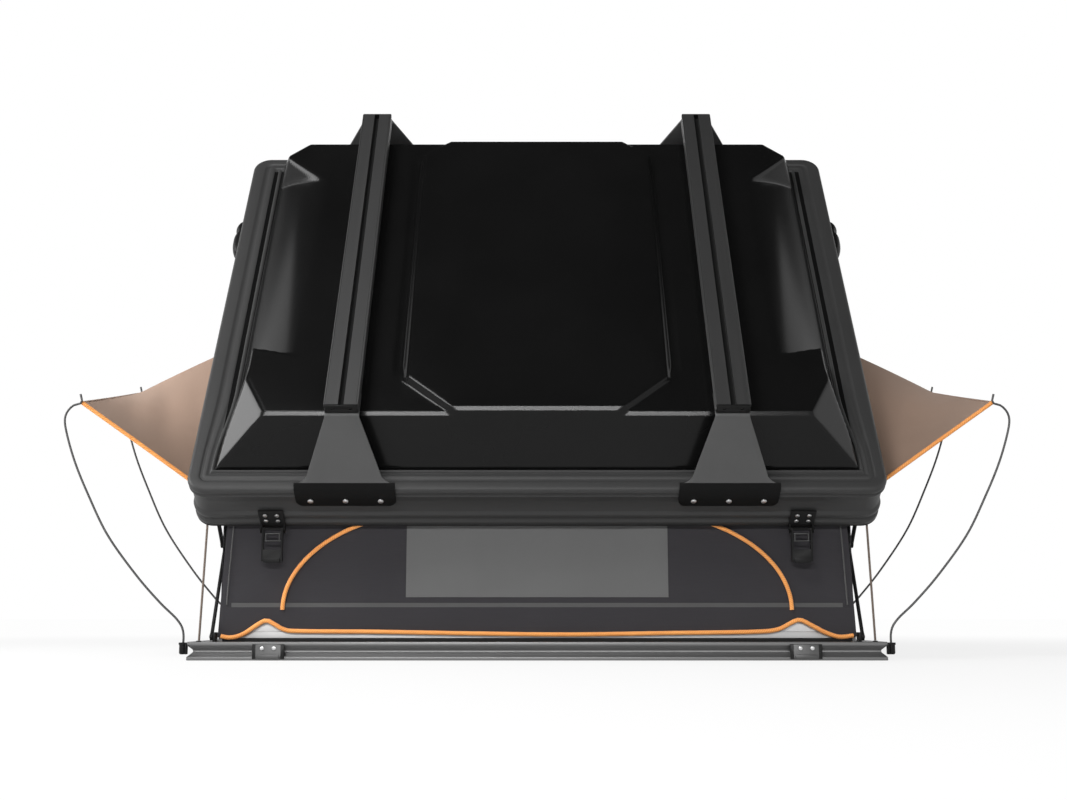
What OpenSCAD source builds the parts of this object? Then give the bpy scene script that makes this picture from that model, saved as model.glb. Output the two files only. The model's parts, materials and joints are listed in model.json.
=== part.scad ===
// Side-opening hard-shell roof top tent, standing open
// X runs along the long side, Y from the low side to the hinge side, Z up
// The origin is the middle of the underside of the base

/* [Base] */
// Length of the base and of the lid along X
tent_w = 2100; // [1800:10:2400]
// Depth of the base and of the lid along Y
tent_d = 1600; // [1300:10:1800]
// Height of the base rail
rail_h = 55; // [45:1:70]
// Width of the base rail
rail_w = 60; // [45:1:75]
// Depth of the groove in the rail's outer face
groove_d = 16; // [8:1:22]
// Height of the inner upstand above the rail
upstand_h = 30; // [20:1:45]
// Wall of the upstand
upstand_t = 6; // [3:0.5:10]
// Distance of each mounting channel from the middle
mount_x = 450; // [400:5:500]
// Width of a mounting channel
mount_w = 60; // [50:1:70]
// Thickness of the floor panel
floor_t = 22; // [12:1:30]
// Thickness of the mattress at its crown
mattress_t = 62; // [40:1:80]

/* [Lid] */
// Opening angle of the lid
lid_tilt = 55.6; // [45:0.1:60]
// Height of the near lower edge of the open lid
lid_rise = 405; // [360:1:440]
// Setback of the near lower edge of the open lid
lid_setback = 34; // [20:1:60]
// Height of the lid's side wall
lid_h = 170; // [150:1:190]
// Wall of the lid's frame
lid_wall = 10; // [7:0.5:14]
// Corner radius of the lid
lid_r = 62; // [40:1:80]
// Width of the flange on top of the frame
flange_w = 82; // [70:1:95]
// Height of the moulded shell above the frame
shell_h = 145; // [110:1:170]
// Wall of the moulded shell
shell_t = 4.5; // [4:0.5:8]

/* [Crossbars] */
// Width of a crossbar
bar_w = 102; // [80:1:120]
// Height of a crossbar
bar_h = 34; // [26:1:40]
// Distance of each crossbar from the middle
bar_x = 572; // [500:1:620]
// Height of the crossbar's top above the frame
bar_top = 235; // [225:1:260]
// Width of the slot along the crossbar
slot_w = 10; // [8:0.5:14]

/* [Latches] */
// Distance of each latch from the middle
latch_x = 805; // [700:1:850]
// Width of a latch plate
latch_w = 76; // [60:1:90]

/* [Lift arms] */
// Distance of the arms from the side of the base
arm_inset = 63; // [60:1:66]
// Width of the lower arm
arm_w = 15; // [10:1:20]
// Length of the upper arm
upper_len = 260; // [250:1:265]
// Diameter of the arm pins
pin_d = 10; // [6:1:12]

/* [Canvas] */
// Thickness of the canvas
canvas_t = 3; // [2:0.5:4]
// Diameter of the orange piping
piping_d = 14; // [8:1:18]
// Diameter of the awning poles
pole_d = 9; // [6:0.5:11]
// Reach of the awning beyond the base
awning_out = 355; // [300:5:400]
// Height of the awning's outer edge
awning_z = 784; // [700:4:820]
// Rise of the outer edge from the near pole to the far one
awning_rise = 142; // [100:2:180]
// Extra reach of the far pole
awning_flare = 35; // [0:5:60]
// Sag in the middle of the awning
awning_sag = 12; // [4:1:30]
// Depth between the two poles of an awning
awning_span = 765; // [700:5:800]
// Diameter of the elastic corner cords
cord_d = 8; // [5:0.5:10]

/* [Hidden] */
$fn = 32;
fit = 0.4;
half_w = tent_w / 2;
half_d = tent_d / 2;
rail_top = rail_h;
floor_z = 28;
seat_z = floor_z + floor_t;
upstand_x = half_w - 82;
upstand_y = half_d - 55;
upstand_top = rail_top + upstand_h;
sides = [-1, 1];
// Near lower edge of the open lid
edge_y = -half_d + lid_setback;
edge_z = lid_rise;
shell_w = tent_w - 2 * flange_w;
shell_d = tent_d - 2 * flange_w;
plateau_z = lid_h + shell_h;
plateau_near = 176;
plateau_far = tent_d - 106;
plateau_x = half_w - 225;
corner_cut = 70;
recess_x = half_w - 308;
recess_near = 420;
recess_far = tent_d - 310;
panel_x = 412;
panel_near = 250;
panel_far = tent_d - 130;
brace_w = 80;
// Middle of the raised panel, where it is level
crest_x = 245;
crest_near = 700;
crest_far = tent_d - 594;
bar_near = 130;
bar_far = tent_d - 50;
bar_z = lid_h + bar_top;
plate_w = 300;
plate_h = 68;
plate_t = 6;
screw_d = 17;
screw_gap = 105;
// Joints of the lift arms in the Y and Z plane
foot = [-half_d + 28, rail_top + 15];
elbow = [foot[0] + 154, foot[1] + 287];
upper_angle = 136;
wrist = elbow + upper_len * [cos(upper_angle), sin(upper_angle)];
arm_t = 8;
arm_x = half_w - arm_inset;
// Latch lever hangs straight down from its pivot on the lid wall
latch_hub = [-17, 4];
lever_len = 66;
wall_y = upstand_y + 0.3;
sag_front = 5;
front_top = [71.5, 10];
rear_top = [tent_d - 70.5, 8];
side_top = 86;
track_in = [94, 74];
track_t = 6;
awning_in = [145, 750];
awning_x = half_w + fit;
pole_x = half_w + 13;
pole_base = 46;
pole_y = [-half_d + 8, -half_d + 8 + awning_span];
// Bowed route of a pole outward from its socket, as shares of its reach and rise
pole_route = [[0, -0.03], [0, 0.05], [0.05, 0.10], [0.19, 0.17], [0.38, 0.28], [0.61, 0.44], [0.77, 0.60],
              [0.89, 0.74], [0.97, 0.87], [0.98, 0.93], [0.93, 0.97], [0.86, 0.985], [0.87, 1.02]];
// Wave of the front hem as [share of the half length, height above the rail]
hem_wave = [[-1, 22], [-0.955, 10], [-0.9, 32], [-0.83, 64], [-0.78, 40], [-0.7, 29], [0, 29], [0.68, 29],
            [0.75, 40], [0.82, 72], [0.9, 44], [0.955, 16], [1, 20]];
hem_half = upstand_x;
column_count = 36;

black = [0.06, 0.06, 0.06];
dark = [0.23, 0.23, 0.24];
grey = [0.36, 0.36, 0.37];
steel = [0.72, 0.72, 0.72];
canvas = [0.24, 0.23, 0.25];
taupe = [0.62, 0.54, 0.48];
orange = [0.92, 0.5, 0.18];

// A point of the lid, given along its depth and its height, in the Y and Z plane
function on_lid(p) = [edge_y + p[0] * cos(lid_tilt) - p[1] * sin(lid_tilt),
                      edge_z + p[0] * sin(lid_tilt) + p[1] * cos(lid_tilt)];
function mix(a, b, k) = a + (b - a) * k;
function unit(v) = v / norm(v);
// Height of the hem at a place along the front, read between its wave's points
function hem_at(x) = rail_top + lookup(x / hem_half, hem_wave);

module on_lid_place() {
    translate([0, edge_y, edge_z])
        rotate([lid_tilt, 0, 0])
            children();
}

// Rectangle with round corners, its near edge on Y = 0
module round_rect(w, d, r) {
    translate([-w / 2 + r, 0])
        square([w - 2 * r, d]);
    translate([-w / 2, r])
        square([w, d - 2 * r]);
    for (x = [-w / 2 + r, w / 2 - r], y = [r, d - r])
        translate([x, y])
            circle(r = r, $fn = 64);
}

// Ring between two round rectangles, inset from the lid's outline
module lid_ring(outer, inner) {
    difference() {
        translate([0, outer])
            round_rect(tent_w - 2 * outer, tent_d - 2 * outer, max(lid_r - outer, 4));
        translate([0, inner])
            round_rect(tent_w - 2 * inner, tent_d - 2 * inner, max(lid_r - inner, 4));
    }
}

// Tube along a route of points
module tube(route, d, ring = 8) {
    n = len(route);
    ahead = [for (i = [0:n - 1]) unit(route[min(i + 1, n - 1)] - route[max(i - 1, 0)])];
    side = [for (a = ahead) unit(cross(a, abs(a[1]) < 0.8 ? [0, 1, 0] : [1, 0, 0]))];
    points = [for (i = [0:n - 1], k = [0:ring - 1])
        route[i] + d / 2 * (cos(360 * k / ring) * side[i] + sin(360 * k / ring) * cross(ahead[i], side[i]))];
    walls = [for (i = [0:n - 2], k = [0:ring - 1])
        [i * ring + k, i * ring + (k + 1) % ring, (i + 1) * ring + (k + 1) % ring, (i + 1) * ring + k]];
    ends = [[for (k = [0:ring - 1]) ring - 1 - k], [for (k = [0:ring - 1]) (n - 1) * ring + k]];
    polyhedron(points, concat(walls, ends), convexity = 8);
}

// Closed sheet over a grid of points, thickened along one direction
module sheet(grid, off) {
    rows = len(grid);
    cols = len(grid[0]);
    count = rows * cols;
    points = concat([for (r = grid, p = r) p], [for (r = grid, p = r) p + off]);
    quads = [for (i = [0:rows - 2], j = [0:cols - 2])
        [i * cols + j, i * cols + j + 1, (i + 1) * cols + j + 1, (i + 1) * cols + j]];
    front = [for (q = quads, half = [0, 1]) half == 0 ? [q[0], q[1], q[2]] : [q[0], q[2], q[3]]];
    back = [for (f = front) [f[2] + count, f[1] + count, f[0] + count]];
    rim = concat([for (j = [0:cols - 1]) j],
                 [for (i = [1:rows - 1]) i * cols + cols - 1],
                 [for (j = [1:cols - 1]) count - 1 - j],
                 [for (i = [1:rows - 2]) (rows - 1 - i) * cols]);
    m = len(rim);
    edge = [for (k = [0:m - 1]) [rim[k], rim[k] + count, rim[(k + 1) % m] + count, rim[(k + 1) % m]]];
    polyhedron(points, concat(front, back, edge), convexity = 6);
}

// Section of the base rail: outer face on X = 0, body towards +X, a groove in the outer face
module rail_section() {
    polygon([[0, 0], [rail_w, 0], [rail_w, floor_z - fit], [rail_w - 14, floor_z - fit],
             [rail_w - 14, rail_top], [0, rail_top], [0, rail_top - 10],
             [groove_d, rail_h / 2 + 3], [groove_d, rail_h / 2 - 3], [0, 10]]);
}

// Rail of a given length with its ends cut at 45 degrees
module mitred_rail(length) {
    difference() {
        rotate([90, 0, 0])
            linear_extrude(height = length, center = true)
                rail_section();
        for (s = sides)
            translate([0, s * (length / 2 - fit / 2), -1])
                rotate([0, 0, s * -45])
                    translate([-rail_w * 2, s > 0 ? 0 : -rail_w * 2, 0])
                        cube([rail_w * 4, rail_w * 2, rail_h + 2]);
    }
}

module base_rail_left() color(dark) translate([-half_w, 0, 0]) mitred_rail(tent_d);

module base_rail_right() color(dark) mirror([1, 0, 0]) base_rail_left();

module base_rail_front() color(dark) translate([0, -half_d, 0]) rotate([0, 0, 90]) mitred_rail(tent_w);

module base_rail_rear() color(dark) mirror([0, 1, 0]) base_rail_front();

module base_upstand() {
    color(grey)
        translate([0, 0, seat_z])
            linear_extrude(height = upstand_top - seat_z)
                difference() {
                    square([2 * upstand_x, 2 * upstand_y], center = true);
                    square([2 * (upstand_x - upstand_t), 2 * (upstand_y - upstand_t)], center = true);
                }
}

module floor_panel() {
    color(grey)
        translate([-half_w + rail_w - 14 + fit, -half_d + rail_w - 14 + fit, floor_z])
            cube([tent_w - 2 * (rail_w - 14 + fit), tent_d - 2 * (rail_w - 14 + fit), floor_t]);
}

// Channel under the floor with a bolt slot along its lower face
module mount_rail(x) {
    length = tent_d - 2 * rail_w - 2 * fit;
    color(dark)
        difference() {
            translate([x - mount_w / 2, -length / 2, 0])
                cube([mount_w, length, floor_z]);
            translate([x - 17, -length / 2 - 1, 6])
                cube([34, length + 2, 12]);
            translate([x - 5, -length / 2 - 1, -1])
                cube([10, length + 2, 9]);
        }
}

module mount_rail_left() mount_rail(-mount_x);

module mount_rail_right() mount_rail(mount_x);

module floor_brace() {
    color(dark)
        translate([-mount_x + mount_w / 2 + fit, -brace_w / 2, 0])
            cube([2 * mount_x - mount_w - 2 * fit, brace_w, floor_z]);
}

// Mattress with a crowned top and rounded sides
module mattress() {
    w = 2 * upstand_x - 120;
    d = 2 * upstand_y - 60;
    cells = 12;
    function crown(k) = sqrt(max(0, 1 - pow(2 * k - 1, 6)));
    top = [for (i = [0:cells]) [for (j = [0:cells])
        [w * (j / cells - 0.5), d * (i / cells - 0.5),
         seat_z + fit + 18 + (mattress_t - 18) * crown(i / cells) * crown(j / cells)]]];
    low = [for (i = [0:cells]) [for (j = [0:cells])
        [w * (j / cells - 0.5), d * (i / cells - 0.5), seat_z + fit]]];
    count = (cells + 1) * (cells + 1);
    n = cells + 1;
    points = concat([for (r = top, p = r) p], [for (r = low, p = r) p]);
    quads = [for (i = [0:cells - 1], j = [0:cells - 1]) [i * n + j, i * n + j + 1, (i + 1) * n + j + 1, (i + 1) * n + j]];
    up = [for (q = quads, half = [0, 1]) half == 0 ? [q[2], q[1], q[0]] : [q[3], q[2], q[0]]];
    down = [for (f = up) [f[2] + count, f[1] + count, f[0] + count]];
    rim = concat([for (j = [0:cells]) j], [for (i = [1:cells]) i * n + cells],
                 [for (j = [1:cells]) count - 1 - j], [for (i = [1:cells - 1]) (cells - i) * n]);
    m = len(rim);
    wall = [for (k = [0:m - 1]) [rim[k], rim[(k + 1) % m], rim[(k + 1) % m] + count, rim[k] + count]];
    color(grey)
        polyhedron(points, concat(up, down, wall), convexity = 4);
}

// Keeper plates on the front of the base, each with a hooked lower lip
module latch_keepers() {
    color(dark)
        for (s = sides)
            translate([s * latch_x, -half_d, 0]) {
                translate([-48, -4, 4])
                    cube([96, 4, 44]);
                translate([-34, -12, 4])
                    cube([68, 8, 5]);
                translate([-34, -12, 9])
                    cube([68, 3, 8]);
            }
}

module keeper_screws() {
    color(steel)
        for (s = sides, x = [-18, 18])
            translate([s * latch_x + x, -half_d - 4, 36])
                rotate([90, 0, 0])
                    cylinder(d = 12, h = 4);
}

// Foot brackets of the lift arms with their pins
module arm_feet() {
    color(black)
        for (s = sides)
            scale([s, 1, 1]) {
                translate([arm_x - 2 * arm_t - 2, foot[0] - 9, rail_top])
                    cube([8, 36, 28]);
                translate([arm_x - 2 * arm_t, foot[0], foot[1]])
                    rotate([0, 90, 0])
                        cylinder(d = pin_d, h = 2 * arm_t + 1);
            }
}

module pole_sockets() {
    color(black)
        for (s = sides, y = pole_y)
            difference() {
                translate([s * pole_x - 13, y - 12, 16])
                    cube([26, 24, 38]);
                translate([s * pole_x, y, 24])
                    cylinder(d = pole_d + 1, h = 40);
            }
}

// Small eyelet blocks that hold the corner cords
cord_eye = [110, 50];
function cord_low(s) = [s * (half_w - 28), -half_d + 38, rail_top];
function cord_high(s) = let (p = on_lid(cord_eye)) [s * (half_w - 42), p[0], p[1] - 7.5];

module base_cord_eyes() {
    color(black)
        for (s = sides)
            translate(cord_low(s))
                cylinder(d = 16, h = 3);
}

module lid_cord_eyes() {
    color(black)
        on_lid_place()
            for (s = sides)
                scale([s, 1, 1])
                    translate([half_w - 48, cord_eye[0], cord_eye[1]])
                        rotate([0, 90, 0])
                            cylinder(d = 14, h = 48 - lid_wall);
}

module corner_cord(s) {
    a = cord_low(s) + [0, 0, 3.4];
    b = cord_high(s);
    color(taupe)
        tube([for (k = [0:6]) mix(a, b, k / 6)], cord_d);
}

module corner_cord_left() corner_cord(-1);

module corner_cord_right() corner_cord(1);

// Depth of the front canvas's soft folds at a share of its half length and of its height
function front_fold(u, k) = sag_front * (1 + sin(u * 1100)) / 2 * (1 - k) * k * 4;

// Front canvas from its waved hem up to the lid
module front_wall() {
    rows = 8;
    top = on_lid(front_top);
    top_half = upstand_x - 18;
    grid = [for (i = [0:rows]) [for (j = [0:column_count])
        let (u = 2 * j / column_count - 1,
             k = i / rows,
             x = u * mix(hem_half, top_half, k),
             low = hem_at(u * hem_half))
        [x, mix(-wall_y, top[0], k) - canvas_t - front_fold(u, k), mix(low, top[1], k)]]];
    color(canvas)
        sheet(grid, [0, canvas_t, 0]);
}

module front_hem() {
    color(orange)
        tube([for (j = [0:column_count])
            let (u = 2 * j / column_count - 1)
            [u * (hem_half - 8), -wall_y - canvas_t - fit - piping_d / 2,
             hem_at(u * hem_half) + 1]], piping_d);
}

// Arched piping of the front door, from its foot on one side over to the other
module door_piping() {
    top = on_lid(front_top);
    half = 770;
    rise = top[1] - 160;
    color(orange)
        for (s = sides)
            tube([for (k = [0:16])
                let (a = 90 * k / 16,
                     z = 150 + rise * sin(a),
                     x = s * (half - 330 * (1 - cos(a))),
                     low = hem_at(x),
                     share = (z - low) / (top[1] - low),
                     fold = front_fold(x / hem_half, share))
                [x, mix(-wall_y, top[0], share) - canvas_t - fold - piping_d * 0.4 - 0.8, z]], piping_d * 0.8);
}

module rear_wall() {
    rows = 8;
    cols = 16;
    top = on_lid(rear_top);
    grid = [for (i = [0:rows]) [for (j = [0:cols])
        let (u = 2 * j / cols - 1,
             k = i / rows,
             sag = 26 * sin(180 * k) * (1 - pow(u, 4)))
        [u * (upstand_x - 10), mix(wall_y - 4, top[0], k) - sag, mix(upstand_top + 0.3, top[1], k)]]];
    color(canvas)
        sheet(grid, [0, canvas_t, 0]);
}

// Side canvas, a four-sided panel drawn in the Y and Z plane
module side_wall(s) {
    near_top = on_lid([side_top, 12]);
    far_top = on_lid([tent_d - side_top, 12]);
    rows = 8;
    cols = 12;
    grid = [for (i = [0:rows]) [for (j = [0:cols])
        let (u = j / cols,
             k = i / rows,
             low = [mix(-upstand_y + 12, upstand_y - 12, u), upstand_top + 0.3],
             high = mix(near_top, far_top, u),
             p = mix(low, high, k))
        [s * (upstand_x - 2 - 16 * sin(180 * k) * sin(180 * u)) - canvas_t / 2, p[0], p[1]]]];
    color(canvas)
        sheet(grid, [canvas_t, 0, 0]);
}

module left_wall() side_wall(-1);

module right_wall() side_wall(1);

// Lid frame: a wall all round with three grooves in its face
module lid_frame() {
    color(dark)
        on_lid_place()
            difference() {
                linear_extrude(height = lid_h - 12)
                    lid_ring(0, lid_wall);
                for (z = [16, 54, lid_h - 34])
                    translate([0, 0, z])
                        linear_extrude(height = 4)
                            difference() {
                                translate([0, -5])
                                    round_rect(tent_w + 10, tent_d + 10, lid_r + 5);
                                translate([0, 2.5])
                                    round_rect(tent_w - 5, tent_d - 5, lid_r - 2.5);
                            }
            }
}

// Flange on top of the frame, with two ribs and a raised inner bead
module lid_flange() {
    color(dark)
        on_lid_place() {
            translate([0, 0, lid_h - 12])
                linear_extrude(height = 8)
                    lid_ring(0, flange_w);
            translate([0, 0, lid_h - 4])
                linear_extrude(height = 4)
                    lid_ring(6, 34);
            translate([0, 0, lid_h - 4])
                linear_extrude(height = 3)
                    lid_ring(42, 60);
            translate([0, 0, lid_h - 4])
                linear_extrude(height = 7)
                    lid_ring(70, flange_w - 4);
        }
}

module track_outline(inset) {
    w = tent_w - 2 * (track_in[0] + inset);
    d = tent_d - 2 * (track_in[1] + inset);
    translate([-w / 2, track_in[1] + inset])
        square([w, d]);
}

// Track under the flange that the canvas is sewn to
module canvas_track() {
    color(dark)
        on_lid_place()
            translate([0, 0, 6])
                linear_extrude(height = lid_h - 18)
                    difference() {
                        track_outline(0);
                        track_outline(track_t);
                    }
}

// Moulded crown of the shell with cut corners; inset makes the hollow inside
module shell_crown(inset) {
    x = shell_w / 2 - inset;
    px = plateau_x + 60 - inset;
    near = plateau_near + inset;
    far = plateau_far - inset;
    hull() {
        translate([-x, flange_w + inset, lid_h])
            cube([2 * x, shell_d - 2 * inset, 0.5]);
        translate([0, 0, plateau_z - 0.5 - inset])
            linear_extrude(height = 0.5)
                polygon([[-px + corner_cut, near], [px - corner_cut, near], [px, near + corner_cut * 2],
                         [px, far - corner_cut], [px - corner_cut, far], [-px + corner_cut, far],
                         [-px, far - corner_cut], [-px, near + corner_cut * 2]]);
    }
}

// Sloped recess along each side of the shell
module shell_recess(grow) {
    for (s = sides)
        scale([s, 1, 1])
            hull() {
                translate([recess_x - 2 * grow, recess_near - grow, plateau_z - grow])
                    cube([1, recess_far - recess_near + 2 * grow, 30]);
                translate([shell_w / 2 + 40, recess_near + 95 - grow, lid_h + 6 - grow])
                    cube([1, recess_far - recess_near + 30 + 2 * grow, shell_h]);
            }
}

module lid_shell() {
    color(black)
        on_lid_place()
            difference() {
                union() {
                    shell_crown(0);
                    // Rim that drops inside the flange
                    translate([0, 0, lid_h - 12])
                        linear_extrude(height = 12.3)
                            lid_ring(flange_w + fit, flange_w + shell_t);
                    // Raised panel between the crossbars
                    hull() {
                        translate([0, 0, plateau_z - 1])
                            linear_extrude(height = 1)
                                polygon([[-panel_x, panel_near + 60], [-panel_x + 90, panel_near - 20],
                                         [panel_x - 90, panel_near - 20], [panel_x, panel_near + 60],
                                         [panel_x, panel_far - 50], [panel_x - 70, panel_far + 24],
                                         [-panel_x + 70, panel_far + 24], [-panel_x, panel_far - 50]]);
                        translate([-crest_x, crest_near, plateau_z + 11])
                            cube([2 * crest_x, crest_far - crest_near, 1]);
                    }
                }
                difference() {
                    translate([0, 0, -0.6])
                        shell_crown(shell_t);
                    shell_recess(shell_t * 1.6);
                }
                shell_recess(0);
            }
}

module lid_seal() {
    color(black)
        on_lid_place()
            translate([0, 0, -4])
                linear_extrude(height = 4)
                    lid_ring(1, lid_wall - 1);
}

// Crossbar with a slot along its top
module crossbar(s) {
    color(grey)
        on_lid_place()
            difference() {
                translate([s * bar_x - bar_w / 2, bar_near, bar_z - bar_h])
                    cube([bar_w, bar_far - bar_near, bar_h]);
                translate([s * bar_x - slot_w / 2, bar_near - 1, bar_z - 10])
                    cube([slot_w, bar_far - bar_near + 2, 12]);
                translate([s * bar_x - slot_w, bar_near - 1, bar_z - 20])
                    cube([2 * slot_w, bar_far - bar_near + 2, 11]);
            }
}

module crossbar_left() crossbar(-1);

module crossbar_right() crossbar(1);

// End caps recessed behind each bar end, with two dark holes
module bar_end_caps() {
    color(black)
        on_lid_place()
            for (s = sides, y = [bar_near - 4, bar_far])
                difference() {
                    translate([s * bar_x - bar_w / 2 + 2, y, bar_z - bar_h + 2])
                        cube([bar_w - 4, 4, bar_h - 4]);
                    for (x = [-26, 26])
                        translate([s * bar_x + x, y - 1, bar_z - bar_h / 2])
                            rotate([-90, 0, 0])
                                cylinder(d = 9, h = 6);
                }
}

// Stand-off bracket: foot plate on the wall, a tapered rise, and a shelf under the bar
module bracket_near(s) {
    rise_z = bar_z - bar_h;
    color(dark)
        on_lid_place()
            translate([s * bar_x, 0, 0]) {
                translate([0, -plate_t, lid_h - plate_h])
                    rotate([90, 0, 0])
                        translate([0, 0, -plate_t])
                            linear_extrude(height = plate_t)
                                polygon([[-plate_w / 2, 20], [-plate_w / 2 + 20, 0], [plate_w / 2 - 20, 0],
                                         [plate_w / 2, 20], [plate_w / 2, plate_h], [-plate_w / 2, plate_h]]);
                hull() {
                    translate([-plate_w / 2, -plate_t, lid_h])
                        cube([plate_w, plate_t, 6]);
                    translate([-106, 14, lid_h + 24])
                        cube([212, plate_t, 1]);
                }
                hull() {
                    translate([-106, 14, lid_h + 24])
                        cube([212, plate_t, 1]);
                    translate([-bar_w / 2, bar_near - 12, rise_z - plate_t - fit])
                        cube([bar_w, plate_t, plate_t]);
                }
                translate([-bar_w / 2, bar_near - 12, rise_z - plate_t - fit])
                    cube([bar_w, 90, plate_t]);
            }
}

module bracket_near_left() bracket_near(-1);

module bracket_near_right() bracket_near(1);

module bracket_far(s) {
    on_lid_place()
        translate([0, tent_d, 0])
            mirror([0, 1, 0])
                far_form(s);
}

// The far bracket is the near one turned about, with a longer rise
module far_form(s) {
    rise_z = bar_z - bar_h;
    bar_end = tent_d - bar_far;
    color(dark)
        translate([s * bar_x, 0, 0]) {
            translate([-plate_w / 2, -plate_t, lid_h - plate_h])
                cube([plate_w, plate_t, plate_h + 6]);
            hull() {
                translate([-plate_w / 2, -plate_t, lid_h])
                    cube([plate_w, plate_t, 6]);
                translate([-bar_w / 2, bar_end - 12, rise_z - plate_t - fit])
                    cube([bar_w, plate_t, plate_t]);
            }
            translate([-bar_w / 2, bar_end - 12, rise_z - plate_t - fit])
                cube([bar_w, 90, plate_t]);
        }
}

module bracket_far_left() bracket_far(-1);

module bracket_far_right() bracket_far(1);

module bracket_screws() {
    color(steel)
        on_lid_place()
            for (s = sides, x = [-screw_gap, 0, screw_gap]) {
                translate([s * bar_x + x, -plate_t, lid_h - plate_h + 26])
                    rotate([90, 0, 0])
                        cylinder(d = screw_d, h = 5);
                translate([s * bar_x + x, tent_d + plate_t, lid_h - plate_h + 26])
                    rotate([-90, 0, 0])
                        cylinder(d = screw_d, h = 5);
            }
}

// Latch plates on the near wall, each with two ears that carry the lever's pin
module latch_plates() {
    color(black)
        on_lid_place()
            for (s = sides)
                translate([s * latch_x, 0, 0]) {
                    translate([-latch_w / 2, -5, -3])
                        cube([latch_w, 5, 77]);
                    for (x = [-latch_w / 2, latch_w / 2 - 5])
                        translate([x, latch_hub[0] - 9, latch_hub[1] - 9])
                            cube([5, -latch_hub[0] + 9 - 4, 18]);
                    translate([-latch_w / 2 - 2, latch_hub[0], latch_hub[1]])
                        rotate([0, 90, 0])
                            cylinder(d = 6, h = latch_w + 4);
                }
}

module latch_screws() {
    color(steel)
        on_lid_place()
            for (s = sides, x = [-18, 18], z = [30, 56])
                translate([s * latch_x + x, -5, z])
                    rotate([90, 0, 0])
                        cylinder(d = 13, h = 4);
}

// Latches on the short sides of the lid, closed up against the wall
module side_latches() {
    color(black)
        on_lid_place()
            for (s = sides)
                scale([s, 1, 1])
                    translate([half_w, tent_d * 0.73, 0]) {
                        translate([0, -latch_w / 2, 62])
                            cube([6, latch_w, 76]);
                        translate([16, 0, 104])
                            rotate([90, 0, 0])
                                cylinder(d = 28, h = latch_w - 20, center = true);
                        translate([12, 0, 70])
                            rotate([90, 0, 0])
                                cylinder(d = 16, h = latch_w - 30, center = true);
                    }
}

module latch_pivot(s) {
    p = on_lid(latch_hub);
    translate([s * latch_x, p[0], p[1]])
        children();
}

// Lever: two cheeks on the pin and a handle block at the lower end
module latch_lever(s) {
    w = latch_w - 12;
    color(black)
        latch_pivot(s)
            difference() {
                union() {
                    for (x = [-w / 2, w / 2 - 6])
                        translate([x, -6, -lever_len])
                            cube([6, 12, lever_len]);
                    for (x = [-w / 2, w / 2 - 6])
                        translate([x, 0, 0])
                            rotate([0, 90, 0])
                                cylinder(d = 14, h = 6);
                    translate([-w / 2, -6, -lever_len - 32])
                        cube([w, 10, 36]);
                    translate([-w / 2 + 8, -12, -lever_len - 36])
                        cube([w - 16, 10, 14]);
                }
                translate([-w, 0, 0])
                    rotate([0, 90, 0])
                        cylinder(d = 6.8, h = 2 * w);
                translate([-w, 0, -36])
                    rotate([0, 90, 0])
                        cylinder(d = 5.6, h = 2 * w);
            }
}

module latch_lever_left() latch_lever(-1);

module latch_lever_right() latch_lever(1);

// Wire bail that swings between the lever's cheeks
module latch_bail(s) {
    w = latch_w - 12;
    color(steel)
        latch_pivot(s) {
            translate([-w / 2 + 0.5, 0, -36])
                rotate([0, 90, 0])
                    cylinder(d = 4.6, h = w - 1);
            for (x = [-w / 2 + 11, w / 2 - 11])
                translate([x, 0, -36])
                    cylinder(d = 5, h = 22);
            translate([-w / 2 + 8.5, 0, -14])
                rotate([0, 90, 0])
                    cylinder(d = 5, h = w - 17);
        }
}

module latch_bail_left() latch_bail(-1);

module latch_bail_right() latch_bail(1);

// Flat arm between two eyes in the Y and Z plane
module arm_bar(a, b, w, x) {
    len_ab = norm(b - a);
    angle = atan2(b[1] - a[1], b[0] - a[0]);
    translate([x, a[0], a[1]])
        rotate([angle, 0, 0])
            difference() {
                union() {
                    translate([0, 0, -w / 2])
                        cube([arm_t, len_ab, w]);
                    for (y = [0, len_ab])
                        translate([0, y, 0])
                            rotate([0, 90, 0])
                                cylinder(d = w + 8, h = arm_t);
                }
                for (y = [0, len_ab])
                    translate([-1, y, 0])
                        rotate([0, 90, 0])
                            cylinder(d = pin_d + 0.8, h = arm_t + 2);
            }
}

// Lower arm with the elbow's pin pressed through it
module lower_arm(s) {
    color(black)
        scale([s, 1, 1]) {
            arm_bar(foot, elbow, arm_w, arm_x - arm_t - 1);
            translate([arm_x - arm_t - 3, elbow[0], elbow[1]])
                rotate([0, 90, 0])
                    cylinder(d = pin_d, h = 2 * arm_t + 6);
            translate([arm_x - arm_t - 1, elbow[0], elbow[1]])
                rotate([0, 90, 0])
                    cylinder(d = pin_d + 2, h = arm_t);
        }
}

module lower_arm_left() lower_arm(-1);

module lower_arm_right() lower_arm(1);

module upper_arm(s) {
    color(black)
        scale([s, 1, 1])
            arm_bar(elbow, wrist, arm_w + 5, arm_x + 1);
}

module upper_arm_left() upper_arm(-1);

module upper_arm_right() upper_arm(1);

// Brackets under the lid's flange that carry the upper ends of the arms
module arm_lid_brackets() {
    rel = [(wrist[0] - edge_y) * cos(lid_tilt) + (wrist[1] - edge_z) * sin(lid_tilt),
           -(wrist[0] - edge_y) * sin(lid_tilt) + (wrist[1] - edge_z) * cos(lid_tilt)];
    color(black)
        on_lid_place()
            for (s = sides)
                scale([s, 1, 1]) {
                    translate([arm_x + arm_t + 2, rel[0] - 18, rel[1] - 16])
                        cube([8, 44, lid_h - 12 - rel[1] + 16]);
                    translate([arm_x - 2, rel[0], rel[1]])
                        rotate([0, 90, 0])
                            cylinder(d = pin_d, h = arm_t + 6);
                }
}

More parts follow.
